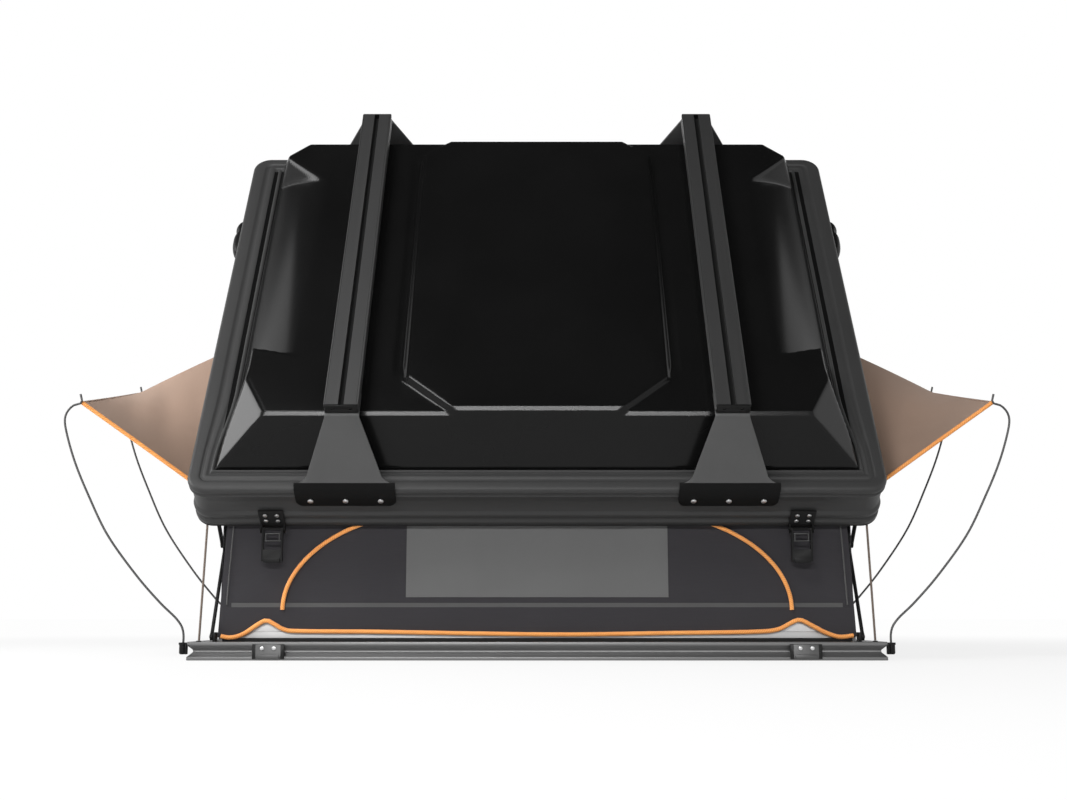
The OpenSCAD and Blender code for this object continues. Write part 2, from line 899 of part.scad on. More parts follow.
// Awning: a twisted sheet from the lid's side edge to an outer edge that climbs to the far pole
module awning(s) {
    rows = 10;
    cols = 12;
    a = on_lid([awning_in[0], 6]);
    b = on_lid([awning_in[1], 6]);
    grid = [for (i = [0:rows]) [for (j = [0:cols])
        let (u = i / rows, v = j / cols,
             inner = concat([awning_x], mix(a, b, v)),
             outer = [half_w + awning_out + awning_flare * v, mix(pole_y[0] + 12, pole_y[1] - 12, v),
                      awning_z + awning_rise * v],
             p = mix(inner, outer, u))
        [s * p[0], p[1], p[2] - awning_sag * sin(180 * u) * sin(180 * v)]]];
    color(taupe)
        sheet(grid, [0, 0, -canvas_t]);
}

module awning_left() awning(-1);

module awning_right() awning(1);

// Bowed spring pole from its socket up to the awning's outer edge
module pole(s, k) {
    reach = half_w + awning_out + awning_flare * k - pole_x + 52;
    rise = awning_z + awning_rise * k - pole_base + 8;
    color(grey)
        tube([for (p = pole_route) [s * (pole_x + p[0] * reach), pole_y[k], pole_base + max(p[1] * rise, -21.7)]],
             pole_d);
}

module pole_near_left() pole(-1, 0);

module pole_far_left() pole(-1, 1);

module pole_near_right() pole(1, 0);

module pole_far_right() pole(1, 1);

base_rail_front();
base_rail_rear();
base_rail_left();
base_rail_right();
base_upstand();
floor_panel();
mount_rail_left();
mount_rail_right();
floor_brace();
mattress();
latch_keepers();
keeper_screws();
arm_feet();
pole_sockets();
base_cord_eyes();
front_wall();
front_hem();
door_piping();
rear_wall();
left_wall();
right_wall();
corner_cord_left();
corner_cord_right();
lid_frame();
lid_flange();
canvas_track();
lid_shell();
lid_seal();
crossbar_left();
crossbar_right();
bar_end_caps();
bracket_near_left();
bracket_near_right();
bracket_far_left();
bracket_far_right();
bracket_screws();
latch_plates();
latch_screws();
side_latches();
arm_lid_brackets();
lid_cord_eyes();
lower_arm_left();
lower_arm_right();
upper_arm_left();
upper_arm_right();
latch_lever_left();
latch_lever_right();
latch_bail_left();
latch_bail_right();
awning_left();
awning_right();
pole_near_left();
pole_far_left();
pole_near_right();
pole_far_right();
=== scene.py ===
import json
import math
from functools import partial

import bpy
import numpy as np
from mathutils import Matrix, Vector


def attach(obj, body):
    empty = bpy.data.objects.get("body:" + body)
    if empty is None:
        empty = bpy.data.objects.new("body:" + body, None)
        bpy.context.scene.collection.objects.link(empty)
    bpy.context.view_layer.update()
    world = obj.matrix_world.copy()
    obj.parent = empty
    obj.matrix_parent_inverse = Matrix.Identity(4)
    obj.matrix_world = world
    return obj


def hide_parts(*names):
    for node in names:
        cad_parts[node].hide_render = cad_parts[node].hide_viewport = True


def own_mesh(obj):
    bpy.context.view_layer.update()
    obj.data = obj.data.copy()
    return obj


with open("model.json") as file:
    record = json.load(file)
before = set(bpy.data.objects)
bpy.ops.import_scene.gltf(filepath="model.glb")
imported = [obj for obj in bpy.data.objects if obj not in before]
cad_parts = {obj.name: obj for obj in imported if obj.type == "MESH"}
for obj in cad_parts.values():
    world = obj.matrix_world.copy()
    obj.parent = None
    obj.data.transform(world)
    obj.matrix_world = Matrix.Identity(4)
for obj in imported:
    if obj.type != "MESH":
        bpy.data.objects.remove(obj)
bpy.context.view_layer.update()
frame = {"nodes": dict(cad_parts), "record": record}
cadNodes = frame["nodes"]
slotOf = {part["node"]: part["material_slot"] for part in frame["record"]["subparts"]}
bodyOf = {node: body for body, group in frame["record"]["behaviour"]["bodies"].items() for node in group}
print("frame loaded:", len(cadNodes), "nodes")

# the lid's own place: x along the tent, y up the slope from the near face, z out of the lid
lid = {"tilt": math.radians(55.6), "edgeY": -0.766, "edgeZ": 0.405, "width": 2.1, "depth": 1.6,
       "height": 0.17, "corner": 0.062, "flange": 0.082}
lidPlace = Matrix.Translation((0, lid["edgeY"], lid["edgeZ"])) @ Matrix.Rotation(lid["tilt"], 4, "X")
sides = ((-1, "left"), (1, "right"))


def onLid(x, y, z):
    return np.array(lidPlace @ Vector((x, y, z)))


def inLid(points):
    place = np.array(lidPlace)
    return points @ place[:3, :3].T + place[:3, 3]


def between(a, b, share):
    return a + (b - a) * share


def clearSelection():
    if bpy.context.object and bpy.context.object.mode != "OBJECT":
        bpy.ops.object.mode_set(mode="OBJECT")
    bpy.ops.object.select_all(action="DESELECT")


def makeActive(piece):
    clearSelection()
    piece.select_set(True)
    bpy.context.view_layer.objects.active = piece


def applyModifier(piece, kind, **settings):
    makeActive(piece)
    modifier = piece.modifiers.new(kind.title(), kind)
    for key, value in settings.items():
        setattr(modifier, key, value)
    bpy.ops.object.modifier_apply(modifier=modifier.name)


def smoothByAngle(piece, degrees):
    makeActive(piece)
    bpy.ops.object.shade_smooth_by_angle(angle=math.radians(degrees))


def inEdit(piece, work):
    makeActive(piece)
    bpy.ops.object.mode_set(mode="EDIT")
    bpy.ops.mesh.select_all(action="SELECT")
    work()
    bpy.ops.object.mode_set(mode="OBJECT")


def mergeDoubles(piece, distance=0.00002):
    inEdit(piece, lambda: bpy.ops.mesh.remove_doubles(threshold=distance))


def faceOutwards(piece):
    inEdit(piece, lambda: bpy.ops.mesh.normals_make_consistent(inside=False))


def closeHoles(piece):
    inEdit(piece, lambda: bpy.ops.mesh.fill_holes(sides=0))


# merged, closed and turned outwards
def sealed(piece):
    mergeDoubles(piece)
    closeHoles(piece)
    faceOutwards(piece)
    return piece


def joined(parts, name, angle):
    makeActive(parts[0])
    for part in parts:
        part.select_set(True)
    bpy.ops.object.join()
    piece = bpy.context.active_object
    piece.name = piece.data.name = name
    smoothByAngle(piece, angle)
    return piece


# block with rounded edges
def boxPiece(name, size, middle, rounding, segments):
    clearSelection()
    bpy.ops.mesh.primitive_cube_add(size=1, location=middle)
    piece = bpy.context.active_object
    piece.name = piece.data.name = name
    piece.scale = size
    bpy.ops.object.transform_apply(location=True, rotation=True, scale=True)
    applyModifier(piece, "BEVEL", width=rounding, segments=segments)
    return piece


# a grid primitive whose points are moved to the given places, with a map in metres along its rows and columns
def gridPiece(name, points, flip=False):
    rows, cols = points.shape[:2]
    clearSelection()
    bpy.ops.mesh.primitive_grid_add(x_subdivisions=cols - 1, y_subdivisions=rows - 1, size=1)
    piece = bpy.context.active_object
    piece.name = piece.data.name = name
    piece.data.vertices.foreach_set("co", points.reshape(-1).astype(np.float32))
    along = np.linalg.norm(np.diff(points, axis=1), axis=2).mean(axis=0)
    across = np.linalg.norm(np.diff(points, axis=0), axis=2).mean(axis=1)
    u = np.concatenate([[0], np.cumsum(along)])
    v = np.concatenate([[0], np.cumsum(across)])
    corner = np.zeros(len(piece.data.loops), np.int32)
    piece.data.loops.foreach_get("vertex_index", corner)
    mapped = np.stack([u[corner % cols], v[corner // cols]], axis=1)
    piece.data.uv_layers.active.data.foreach_set("uv", mapped.reshape(-1).astype(np.float32))
    piece.data.update()
    if flip:
        inEdit(piece, bpy.ops.mesh.flip_normals)
    return piece


# the four rows of a grid that lie so many rings in from its border
def borders(points, ring):
    return points[ring], points[-1 - ring], points[:, ring], points[:, -1 - ring]


def clothPiece(name, points, thick, flip=False):
    piece = gridPiece(name, points, flip)
    applyModifier(piece, "SOLIDIFY", thickness=thick, offset=-1.0)
    smoothByAngle(piece, 60)
    return piece


# smooth curve through a few points, sampled evenly
def smoothRoute(points, count):
    points = np.array(points, float)
    ends = np.vstack([2 * points[0] - points[1], points, 2 * points[-1] - points[-2]])
    fine = []
    for i in range(len(points) - 1):
        a, b, c, d = ends[i:i + 4]
        for t in np.linspace(0, 1, 24, endpoint=False):
            fine.append(0.5 * (2 * b + (c - a) * t + (2 * a - 5 * b + 4 * c - d) * t ** 2
                               + (3 * b - a - 3 * c + d) * t ** 3))
    fine = np.array(fine + [points[-1]])
    length = np.concatenate([[0], np.cumsum(np.linalg.norm(np.diff(fine, axis=0), axis=1))])
    wanted = np.linspace(0, length[-1], count)
    return np.stack([np.interp(wanted, length, fine[:, k]) for k in range(3)], axis=1)


# round tube along a route, closed at both ends
def tubePiece(name, route, radius, faces=12):
    route = np.array(route, float)
    ahead = np.gradient(route, axis=0)
    ahead /= np.linalg.norm(ahead, axis=1)[:, None]
    side = np.cross(ahead[0], (0, 1, 0) if abs(ahead[0][1]) < 0.8 else (1, 0, 0))
    radius = np.broadcast_to(radius, len(route))
    rings = []
    for point, forward, r in zip(route, ahead, radius):
        side = side - forward * np.dot(side, forward)
        side /= np.linalg.norm(side)
        up = np.cross(forward, side)
        turn = np.linspace(0, 2 * math.pi, faces + 1)
        rings.append(point + r * (np.cos(turn)[:, None] * side + np.sin(turn)[:, None] * up))
    piece = sealed(gridPiece(name, np.array(rings)))
    smoothByAngle(piece, 50)
    return piece


# section carried round a route of stations, each a row of points, closed along the row
def loopPiece(name, points, closedRoute, angle=35):
    rows = np.concatenate([points, points[:1]]) if closedRoute else points
    piece = gridPiece(name, np.concatenate([rows, rows[:, :1]], axis=1))
    mergeDoubles(piece)
    if not closedRoute:
        closeHoles(piece)
    faceOutwards(piece)
    smoothByAngle(piece, angle)
    return piece


# a piece's body, slot, replaced nodes and finish, which is the slot's own unless another look is named
def dress(piece, body, slot, *nodes, look=None):
    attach(piece, body)
    if nodes:
        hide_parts(*nodes)
    piece.data.materials.clear()
    piece.data.materials.append(finishes[look or slot])
    return piece


# shader values, so that a finish can be written as sums and products
class Value:
    def __init__(self, tree, socket):
        self.tree = tree
        self.socket = socket

    def math(self, operation, other=0.0, swapped=False):
        node = self.tree.nodes.new("ShaderNodeMath")
        node.operation = operation
        for place, part in enumerate([other, self] if swapped else [self, other]):
            feed(self.tree, node.inputs[place], part)
        return Value(self.tree, node.outputs[0])

    def __add__(self, other):
        return self.math("ADD", other)

    def __sub__(self, other):
        return self.math("SUBTRACT", other)

    def __rsub__(self, other):
        return self.math("SUBTRACT", other, True)

    def __mul__(self, other):
        return self.math("MULTIPLY", other)

    __radd__, __rmul__ = __add__, __mul__


def feed(tree, socket, value):
    if isinstance(value, Value):
        tree.links.new(value.socket, socket)
    else:
        socket.default_value = value


class Finish:
    def __init__(self, name, kind="materials", surface="Principled BSDF"):
        self.owner = getattr(bpy.data, kind).new(name)
        self.owner.use_nodes = True
        self.tree = self.owner.node_tree
        self.surface = self.tree.nodes[surface]

    # one node, from its type, the output wanted, its settings, and its inputs by place or by name
    def make(self, kind, output, settings=None, places=None, **inputs):
        node = self.tree.nodes.new("ShaderNode" + kind)
        for key, value in (settings or {}).items():
            setattr(node, key, value)
        for place, value in (places or {}).items():
            feed(self.tree, node.inputs[place], value)
        for key, value in inputs.items():
            feed(self.tree, node.inputs[key.replace("_", " ")], value)
        return Value(self.tree, node.outputs[output])

    def where(self, output="Object"):
        return self.make("TexCoord", output)

    def turned(self, where, rotation=(0, 0, 0), scale=(1, 1, 1), location=(0, 0, 0)):
        return self.make("Mapping", "Vector", Vector=where, Rotation=rotation, Scale=scale, Location=location)

    def noise(self, where, scale, detail=3.0, roughness=0.55):
        return self.make("TexNoise", "Fac", Vector=where, Scale=scale, Detail=detail, Roughness=roughness)

    def waves(self, where, scale, direction, distortion=0.0):
        return self.make("TexWave", "Fac", {"bands_direction": direction}, Vector=where, Scale=scale,
                         Distortion=distortion, Detail=1.0)

    # distance from the middle of the tent, along x
    def offMiddle(self, where):
        return self.make("SeparateXYZ", "X", Vector=where).math("ABSOLUTE")

    def step(self, value, low, high):
        return self.make("MapRange", "Result", {"interpolation_type": "SMOOTHSTEP"}, Value=value,
                         From_Min=low, From_Max=high)

    def blend(self, factor, first, second):
        return self.make("Mix", 2, {"data_type": "RGBA"}, {0: factor, 6: first, 7: second})

    def bump(self, height, strength, distance):
        return self.make("Bump", "Normal", Height=height, Strength=strength, Distance=distance)

    def finish(self, **inputs):
        for key, value in inputs.items():
            feed(self.tree, self.surface.inputs[key.replace("_", " ")], value)
        return self.owner


def tone(level):
    return (level, level, level, 1)


# scale at which one wave is a metre long
waveUnit = 0.314


def shellFinish():
    f = Finish("shellGloss")
    where = f.where()
    cloud = f.noise(where, 3.0, 2.0)
    grain = f.noise(where, 420.0, 2.0)
    streak = f.noise(f.turned(where, (lid["tilt"], 0, 0), (1, 60, 60)), 2.0, 3.0)
    colour = f.blend(cloud, tone(0.0034), tone(0.0064))
    return f.finish(Base_Color=colour, Roughness=0.13 + 0.08 * streak + 0.05 * cloud, Specular_IOR_Level=0.17,
                    Normal=f.bump(grain, 0.04, 0.0004))


def mouldedFinish(name, low, high, roughness, scale=700.0, depth=0.0006, gloss=0.25):
    f = Finish(name)
    where = f.where()
    cloud = f.noise(where, 2.2, 3.0)
    grain = f.noise(where, scale, 2.0, 0.7)
    scuff = f.step(f.noise(f.turned(where, scale=(3, 30, 30)), 4.0, 4.0), 0.62, 0.78)
    colour = f.blend(cloud, tone(low), tone(high))
    return f.finish(Base_Color=f.blend(scuff * 0.25, colour, tone(high * 1.6)),
                    Roughness=roughness + 0.12 * cloud - 0.06 * scuff, Specular_IOR_Level=gloss,
                    Normal=f.bump(grain, 0.35, depth))


def metalFinish(name, level, roughness, stretch, metallic):
    f = Finish(name)
    where = f.where()
    lines = f.noise(f.turned(where, scale=stretch), 1.0, 4.0, 0.6)
    cloud = f.noise(where, 2.5, 3.0)
    colour = f.blend(0.6 * lines + 0.4 * cloud, tone(0.82 * level), tone(level))
    return f.finish(Base_Color=colour, Metallic=metallic, Roughness=roughness + 0.16 * lines,
                    Normal=f.bump(lines, 0.06, 0.0004))


# bar whose slot along its middle is painted near black: painted shade inside the slot
def barFinish(middle, slot):
    f = Finish("barAnodised")
    where = f.where()
    local = f.turned(where, (-lid["tilt"], 0, 0))
    lines = f.noise(f.turned(local, scale=brushed["y"]), 1.0, 4.0, 0.6)
    cloud = f.noise(where, 2.5, 3.0)
    # painted shade: inside the slot the colour goes near black, not metallic and rougher
    slotShade = 1.0 - f.step((f.offMiddle(where) - middle).math("ABSOLUTE"), slot + 0.0002, slot + 0.0006)
    plain = f.blend(0.6 * lines + 0.4 * cloud, tone(0.044), tone(0.056))
    return f.finish(Base_Color=f.blend(slotShade, plain, tone(0.002)), Metallic=0.55 - 0.55 * slotShade,
                    Roughness=0.42 + 0.16 * lines + 0.3 * slotShade, Specular_IOR_Level=0.3,
                    Normal=f.bump(lines, 0.06, 0.0004))


# grey plate with black guards at its two ends
def keeperFinish(middle, plain):
    f = Finish("keeperPlate")
    where = f.where()
    cloud = f.noise(where, 60.0, 3.0)
    lines = f.noise(f.turned(where, scale=(4, 200, 200)), 1.0, 3.0)
    guard = f.step((f.offMiddle(where) - middle).math("ABSOLUTE"), plain, plain + 0.0006)
    plate = f.blend(0.6 * lines + 0.4 * cloud, tone(0.072), tone(0.105))
    return f.finish(Base_Color=f.blend(guard, plate, tone(0.006)), Metallic=0.75 - 0.75 * guard,
                    Roughness=0.38 + 0.14 * lines, Specular_IOR_Level=0.25,
                    Normal=f.bump(lines, 0.05, 0.0004))


# grey plate whose foot is black below a line on the lid
def bracketFinish(line):
    f = Finish("bracketCoat")
    where = f.where()
    local = f.turned(where, location=(0, -lid["edgeY"], -lid["edgeZ"]))
    local = f.turned(local, rotation=(-lid["tilt"], 0, 0))
    height = f.make("SeparateXYZ", "Z", Vector=local)
    foot = 1.0 - f.step(height, *line)
    cloud = f.noise(where, 9.0, 3.0)
    grain = f.noise(where, 900.0, 2.0)
    upper = f.blend(cloud, tone(0.078), tone(0.096))
    return f.finish(Base_Color=f.blend(foot, upper, tone(0.002)), Metallic=0.35 - 0.35 * foot,
                    Roughness=0.46 + 0.1 * cloud, Specular_IOR_Level=0.12, Normal=f.bump(grain, 0.25, 0.0004))


def clothFinish(name, dark, light, thread=0.0024, sheen=0.25, paintedTipLight=None):
    f = Finish(name)
    where = f.where("UV")
    weft, warp = (f.waves(where, waveUnit / thread, direction, 0.4) for direction in "XY")
    weave = weft * warp + 0.35 * (weft + warp)
    slub = f.noise(f.turned(where, scale=(12, 260, 1)), 1.0, 3.0)
    cloud = f.noise(f.where(), 5.0, 4.0)
    mix = 0.45 * cloud + 0.3 * slub + 0.25 * weave
    if paintedTipLight:
        # painted light: paler towards the outer end, where the lamps leave the cloth darker
        mix = 0.4 * mix + 0.6 * f.step(f.offMiddle(f.where()), *paintedTipLight)
    return f.finish(Base_Color=f.blend(mix, dark, light), Roughness=0.78 + 0.15 * cloud, Sheen_Weight=sheen,
                    Specular_IOR_Level=0.25, Normal=f.bump(weave + 0.8 * slub, 0.5, 0.0005))


def netFinish(mesh):
    f = Finish("windowNet")
    where = f.where("UV")
    weft, warp = (f.waves(where, waveUnit / mesh, direction) for direction in "XY")
    thread = f.step(weft.math("MAXIMUM", warp), 0.55, 0.85)
    cloud = f.noise(f.where(), 3.5, 3.0)
    lit = f.blend(cloud, tone(0.072), tone(0.100))
    return f.finish(Base_Color=f.blend(thread * 0.5, lit, tone(0.15)), Roughness=0.55 + 0.2 * cloud,
                    Specular_IOR_Level=0.35, Normal=f.bump(thread, 0.3, 0.0004))


def pipingFinish(name, dark, light, pitch=0.006):
    f = Finish(name)
    where = f.where("UV")
    twist = f.waves(f.turned(where, (0, 0, 0.6)), waveUnit / pitch, "Y", 0.3)
    cloud = f.noise(f.where(), 14.0, 3.0)
    return f.finish(Base_Color=f.blend(0.5 * twist + 0.5 * cloud, dark, light), Roughness=0.62 + 0.15 * cloud,
                    Sheen_Weight=0.2, Normal=f.bump(twist, 0.5, 0.0006))


def boardFinish():
    f = Finish("floorBoard")
    where = f.where()
    cells = f.make("TexVoronoi", "Distance", {"feature": "DISTANCE_TO_EDGE"}, Vector=where, Scale=90.0)
    cloud = f.noise(where, 6.0, 3.0)
    colour = f.blend(cloud, tone(0.14), tone(0.19))
    return f.finish(Base_Color=colour, Roughness=0.55 + 0.15 * cloud, Normal=f.bump(cells, 0.2, 0.0005))


# brushed lines that run along x or along y
brushed = {"x": (2, 160, 160), "y": (160, 2, 160)}
# middle and half width of the bars' slots and of the keepers' plates, and the heights of the brackets' line
marks = {"slot": (0.572, 0.008), "keeper": (0.805, 0.037), "bracket": (0.1924, 0.1932)}
finishes = {
    "anodised": metalFinish("anodisedRail", 0.19, 0.36, brushed["x"], 0.8),
    "sideRail": metalFinish("anodisedSideRail", 0.19, 0.36, brushed["y"], 0.8),
    "upstand": metalFinish("plainAluminium", 0.55, 0.38, (2, 2, 160), 0.7),
    "bail": metalFinish("bailSteel", 0.07, 0.32, (40, 40, 40), 0.9),
    "bar_metal": barFinish(*marks["slot"]),
    "bracket": bracketFinish(marks["bracket"]),
    "keeper": keeperFinish(*marks["keeper"]),
    "black_metal": mouldedFinish("blackCoat", 0.0045, 0.009, 0.38, 1100.0, 0.0003, 0.15),
    "bright_metal": metalFinish("brightSteel", 0.62, 0.24, (40, 40, 40), 1.0),
    "frame_plastic": mouldedFinish("framePlastic", 0.030, 0.039, 0.42),
    "seal_rubber": mouldedFinish("sealRubber", 0.008, 0.014, 0.7),
    "floor_board": boardFinish(),
    "shell_gloss": shellFinish(),
    "canvas_grey": clothFinish("charcoalCanvas", (0.018, 0.0170, 0.0198, 1), (0.040, 0.0378, 0.0425, 1)),
    # the awning cloth carries painted light, paler towards its outer end
    "canvas_taupe": clothFinish("taupeCanvas", (0.195, 0.132, 0.098, 1), (0.420, 0.292, 0.222, 1), sheen=0.06,
                                paintedTipLight=(1.0, 1.46)),
    "window": netFinish(0.0032),
    "tape": clothFinish("seamTape", tone(0.062), tone(0.095), 0.003),
    "piping_orange": pipingFinish("orangePiping", (0.72, 0.21, 0.035, 1), (1.0, 0.47, 0.13, 1)),
    "cord_elastic": pipingFinish("elasticCord", (0.085, 0.06, 0.045, 1), (0.19, 0.145, 0.115, 1), 0.004),
    "mattress_cover": clothFinish("mattressKnit", tone(0.09), tone(0.15), 0.004, 0.3),
    "pole_steel": metalFinish("poleCoat", 0.075, 0.4, (60, 60, 60), 0.6),
}
print("finishes made:", len(finishes))


# hard parts: the solid's own mesh, merged, with its edges rounded over
softEdges = {"width": 0.0016, "segments": 2, "angle": 32,
             "fine": {"bracket_screws": 0.0012, "latch_screws": 0.001, "keeper_screws": 0.001,
                      "latch_bail_left": 0.0004, "latch_bail_right": 0.0004, "lid_seal": 0.001},
             "finish": {"latch_bail_left": "bail", "latch_bail_right": "bail", "base_rail_left": "sideRail",
                        "base_rail_right": "sideRail", "base_upstand": "upstand", "latch_keepers": "keeper",
                        "bracket_far_left": "bracket", "bracket_far_right": "bracket"}}
hardNodes = [node for node in cadNodes if node not in (
    "lid_shell", "lid_frame", "lid_flange", "crossbar_left", "crossbar_right", "mattress", "front_wall",
    "front_hem", "door_piping", "rear_wall", "left_wall", "right_wall", "corner_cord_left",
    "corner_cord_right", "awning_left", "awning_right", "pole_near_left", "pole_far_left",
    "pole_near_right", "pole_far_right", "pole_sockets", "bracket_near_left", "bracket_near_right",
    "side_latches")]


def pieceName(node):
    first, *rest = node.split("_")
    return first + "".join(word.title() for word in rest)


def roundedCopy(node):
    clearSelection()
    mesh = cadNodes[node].data.copy()
    piece = bpy.data.objects.new(pieceName(node), mesh)
    bpy.context.scene.collection.objects.link(piece)
    mergeDoubles(piece)
    inEdit(piece, lambda: bpy.ops.mesh.dissolve_limited(angle_limit=math.radians(1.0)))
    applyModifier(piece, "BEVEL", width=softEdges["fine"].get(node, softEdges["width"]),
                  segments=softEdges["segments"], limit_method="ANGLE",
                  angle_limit=math.radians(softEdges["angle"]), use_clamp_overlap=True)
    smoothByAngle(piece, 35)
    return dress(piece, bodyOf[node], slotOf[node], node, look=softEdges["finish"].get(node))


for node in hardNodes:
    roundedCopy(node)
print("hard parts rounded:", len(hardNodes))

# moulded shell: the lowest of several sloped faces at each place, eased where they meet
shell = {"cell": 0.0066, "halfX": 0.968, "near": 0.082, "far": 1.518, "base": 0.17, "top": 0.315,
         "ease": 0.006, "waist": 0.936, "waistFrom": (0.10, 0.40), "plateauX": 0.885, "farRidge": 1.494,
         "cut": 0.07, "skirt": [(0.0012, 0.159), (0.0006, 0.168)],
         "ridge": {"y": 0.178, "slope": 0.565, "drop": 0.00522, "eases": (0.0006, 0.0015),
                   "rows": (-0.014, 0.030, 23)},
         "panel": {"x": 0.41, "near": (0.31, 0.23), "far": (1.42, 1.50), "in": 0.32, "rise": 0.013,
                   "edge": 0.016},
         "crest": {"x": 0.245, "near": (0.24, 0.70), "far": (1.006, 1.49), "rise": 0.014,
                   "eases": (0.05, 0.06)},
         "groove": {"x": 0.424, "wide": 0.017, "edge": 0.010, "deep": 0.007, "y": (0.33, 1.41), "end": 0.05},
         "recess": {"inner": 0.742, "outer": 0.935, "near": (0.42, 0.515), "far": (1.28, 1.408), "low": 0.180,
                    "bend": (0.62, 0.38), "ends": 2.4}}


def easedMin(a, b, ease):
    gap = np.maximum(ease - np.abs(a - b), 0)
    return np.minimum(a, b) - gap ** 2 / (4 * ease)


def planeThrough(x, y, points):
    (x0, y0, z0), (x1, y1, z1), (x2, y2, z2) = points
    a, b = np.linalg.solve([[x1 - x0, y1 - y0], [x2 - x0, y2 - y0]], [z1 - z0, z2 - z0])
    return z0 + a * (x - x0) + b * (y - y0)


def smoothStep(t):
    t = np.clip(t, 0, 1)
    return t * t * (3 - 2 * t)


# smooth rise from 0 to 1 between two values
def riseOver(value, low, high):
    return smoothStep((value - low) / (high - low))


# half width of the crown's foot: full at the near corners, drawn in along the sides
def shellEdge(y):
    return shell["halfX"] - (shell["halfX"] - shell["waist"]) * riseOver(y, *shell["waistFrom"])


# raised panel with cut corners, its level crest, and a groove along each side
def panelRise(x, y):
    panel, crest, groove = shell["panel"], shell["crest"], shell["groove"]
    (nearY, nearCut), (farY, farCut) = panel["near"], panel["far"]
    run, aside = panel["x"] - panel["in"], panel["x"] - x
    nearSide = ((nearY - nearCut) * aside + run * (y - nearY)) / math.hypot(run, nearY - nearCut)
    farSide = ((farCut - farY) * aside + run * (farY - y)) / math.hypot(run, farCut - farY)
    inside = np.minimum(np.minimum(aside, nearSide), farSide)
    (startY, nearTop), (farTop, endY), (ease, topEase) = crest["near"], crest["far"], crest["eases"]
    level = easedMin(aside / (panel["x"] - crest["x"]), (y - startY) / (nearTop - startY), ease)
    level = easedMin(level, (endY - y) / (endY - farTop), ease)
    level = np.clip(easedMin(level, np.ones_like(level), topEase), 0, 1)
    hollow = groove["deep"] * smoothStep((groove["wide"] - np.abs(x - groove["x"])) / groove["edge"])
    hollow = hollow * smoothStep((y - groove["y"][0]) / groove["end"])
    hollow = hollow * smoothStep((groove["y"][1] - y) / groove["end"])
    return panel["rise"] * smoothStep(inside / panel["edge"]) + crest["rise"] * level - hollow


# floor of the sloped recess along each side, rising past its ends
def recessFloor(x, y):
    r, top = shell["recess"], shell["top"]
    share = (x - r["inner"]) / (r["outer"] - r["inner"])
    beyond = np.maximum(np.maximum(between(*r["near"], share) - y, y - between(*r["far"], share)), 0)
    straight, bent = r["bend"]
    return top + (straight * share + bent * np.maximum(share, 0) ** 2) * (r["low"] - top) + r["ends"] * beyond


def shellHeight(x, y):
    s, ridge = shell, shell["ridge"]
    x = np.abs(x)
    base, top, ease, cut = s["base"], s["top"], s["ease"], s["cut"]
    height = top + panelRise(x, y)
    # near slope with a narrow chamfer where it meets the top
    climb = (top - base) / (ridge["y"] - s["near"])
    chamfer = height + (y - ridge["y"] - (height - top) / climb) * ridge["slope"] - ridge["drop"]
    height = easedMin(height, chamfer, ridge["eases"][0])
    height = easedMin(height, base + (y - s["near"]) * climb, ridge["eases"][1])
    # far and side slopes, the cut corners and the recesses
    nearCorner = [(s["halfX"], s["near"], base), (s["plateauX"] - cut, ridge["y"], top),
                  (s["plateauX"], ridge["y"] + 2 * cut, top)]
    farCorner = [(s["halfX"], s["far"], base), (s["plateauX"] - cut, s["farRidge"], top),
                 (s["plateauX"], s["farRidge"] - cut, top)]
    for face in (base + (s["far"] - y) * (top - base) / (s["far"] - s["farRidge"]),
                 base + (shellEdge(y) - x) * (top - base) / (s["waist"] - s["plateauX"]),
                 planeThrough(x, y, nearCorner), planeThrough(x, y, farCorner), recessFloor(x, y)):
        height = easedMin(height, face, ease)
    return np.maximum(height, base)


def buildShell():
    s = shell
    xs = np.linspace(-s["halfX"], s["halfX"], int(2 * s["halfX"] / s["cell"]) + 1)
    ys = np.linspace(s["near"], s["far"], int((s["far"] - s["near"]) / s["cell"]) + 1)
    ys = np.unique(np.round(np.concatenate([ys, s["ridge"]["y"] + np.linspace(*s["ridge"]["rows"])]), 5))
    x, y = np.meshgrid(xs, ys)
    top = np.stack([x, y, shellHeight(x, y)], axis=2)
    # two more rings all round turn the edge down into the flange
    points = np.pad(top, ((2, 2), (2, 2), (0, 0)), mode="edge")
    for ring, (inset, level) in enumerate(s["skirt"]):
        for edge in borders(points, ring):
            edge[:, 2] = level
            edge[:, 0] = np.clip(edge[:, 0], -s["halfX"] + inset, s["halfX"] - inset)
            edge[:, 1] = np.clip(edge[:, 1], s["near"] + inset, s["far"] - inset)
    for rows in (slice(0, 2), slice(-2, None)):
        for cols in (slice(0, 2), slice(-2, None)):
            points[rows, cols, 2] = s["skirt"][0][1]
    piece = gridPiece("lidShell", inLid(points))
    mergeDoubles(piece, 0.00001)
    closeHoles(piece)
    smoothByAngle(piece, 60)
    return dress(piece, "lid", "shell_gloss", "lid_shell")


buildShell()
print("shell modelled")

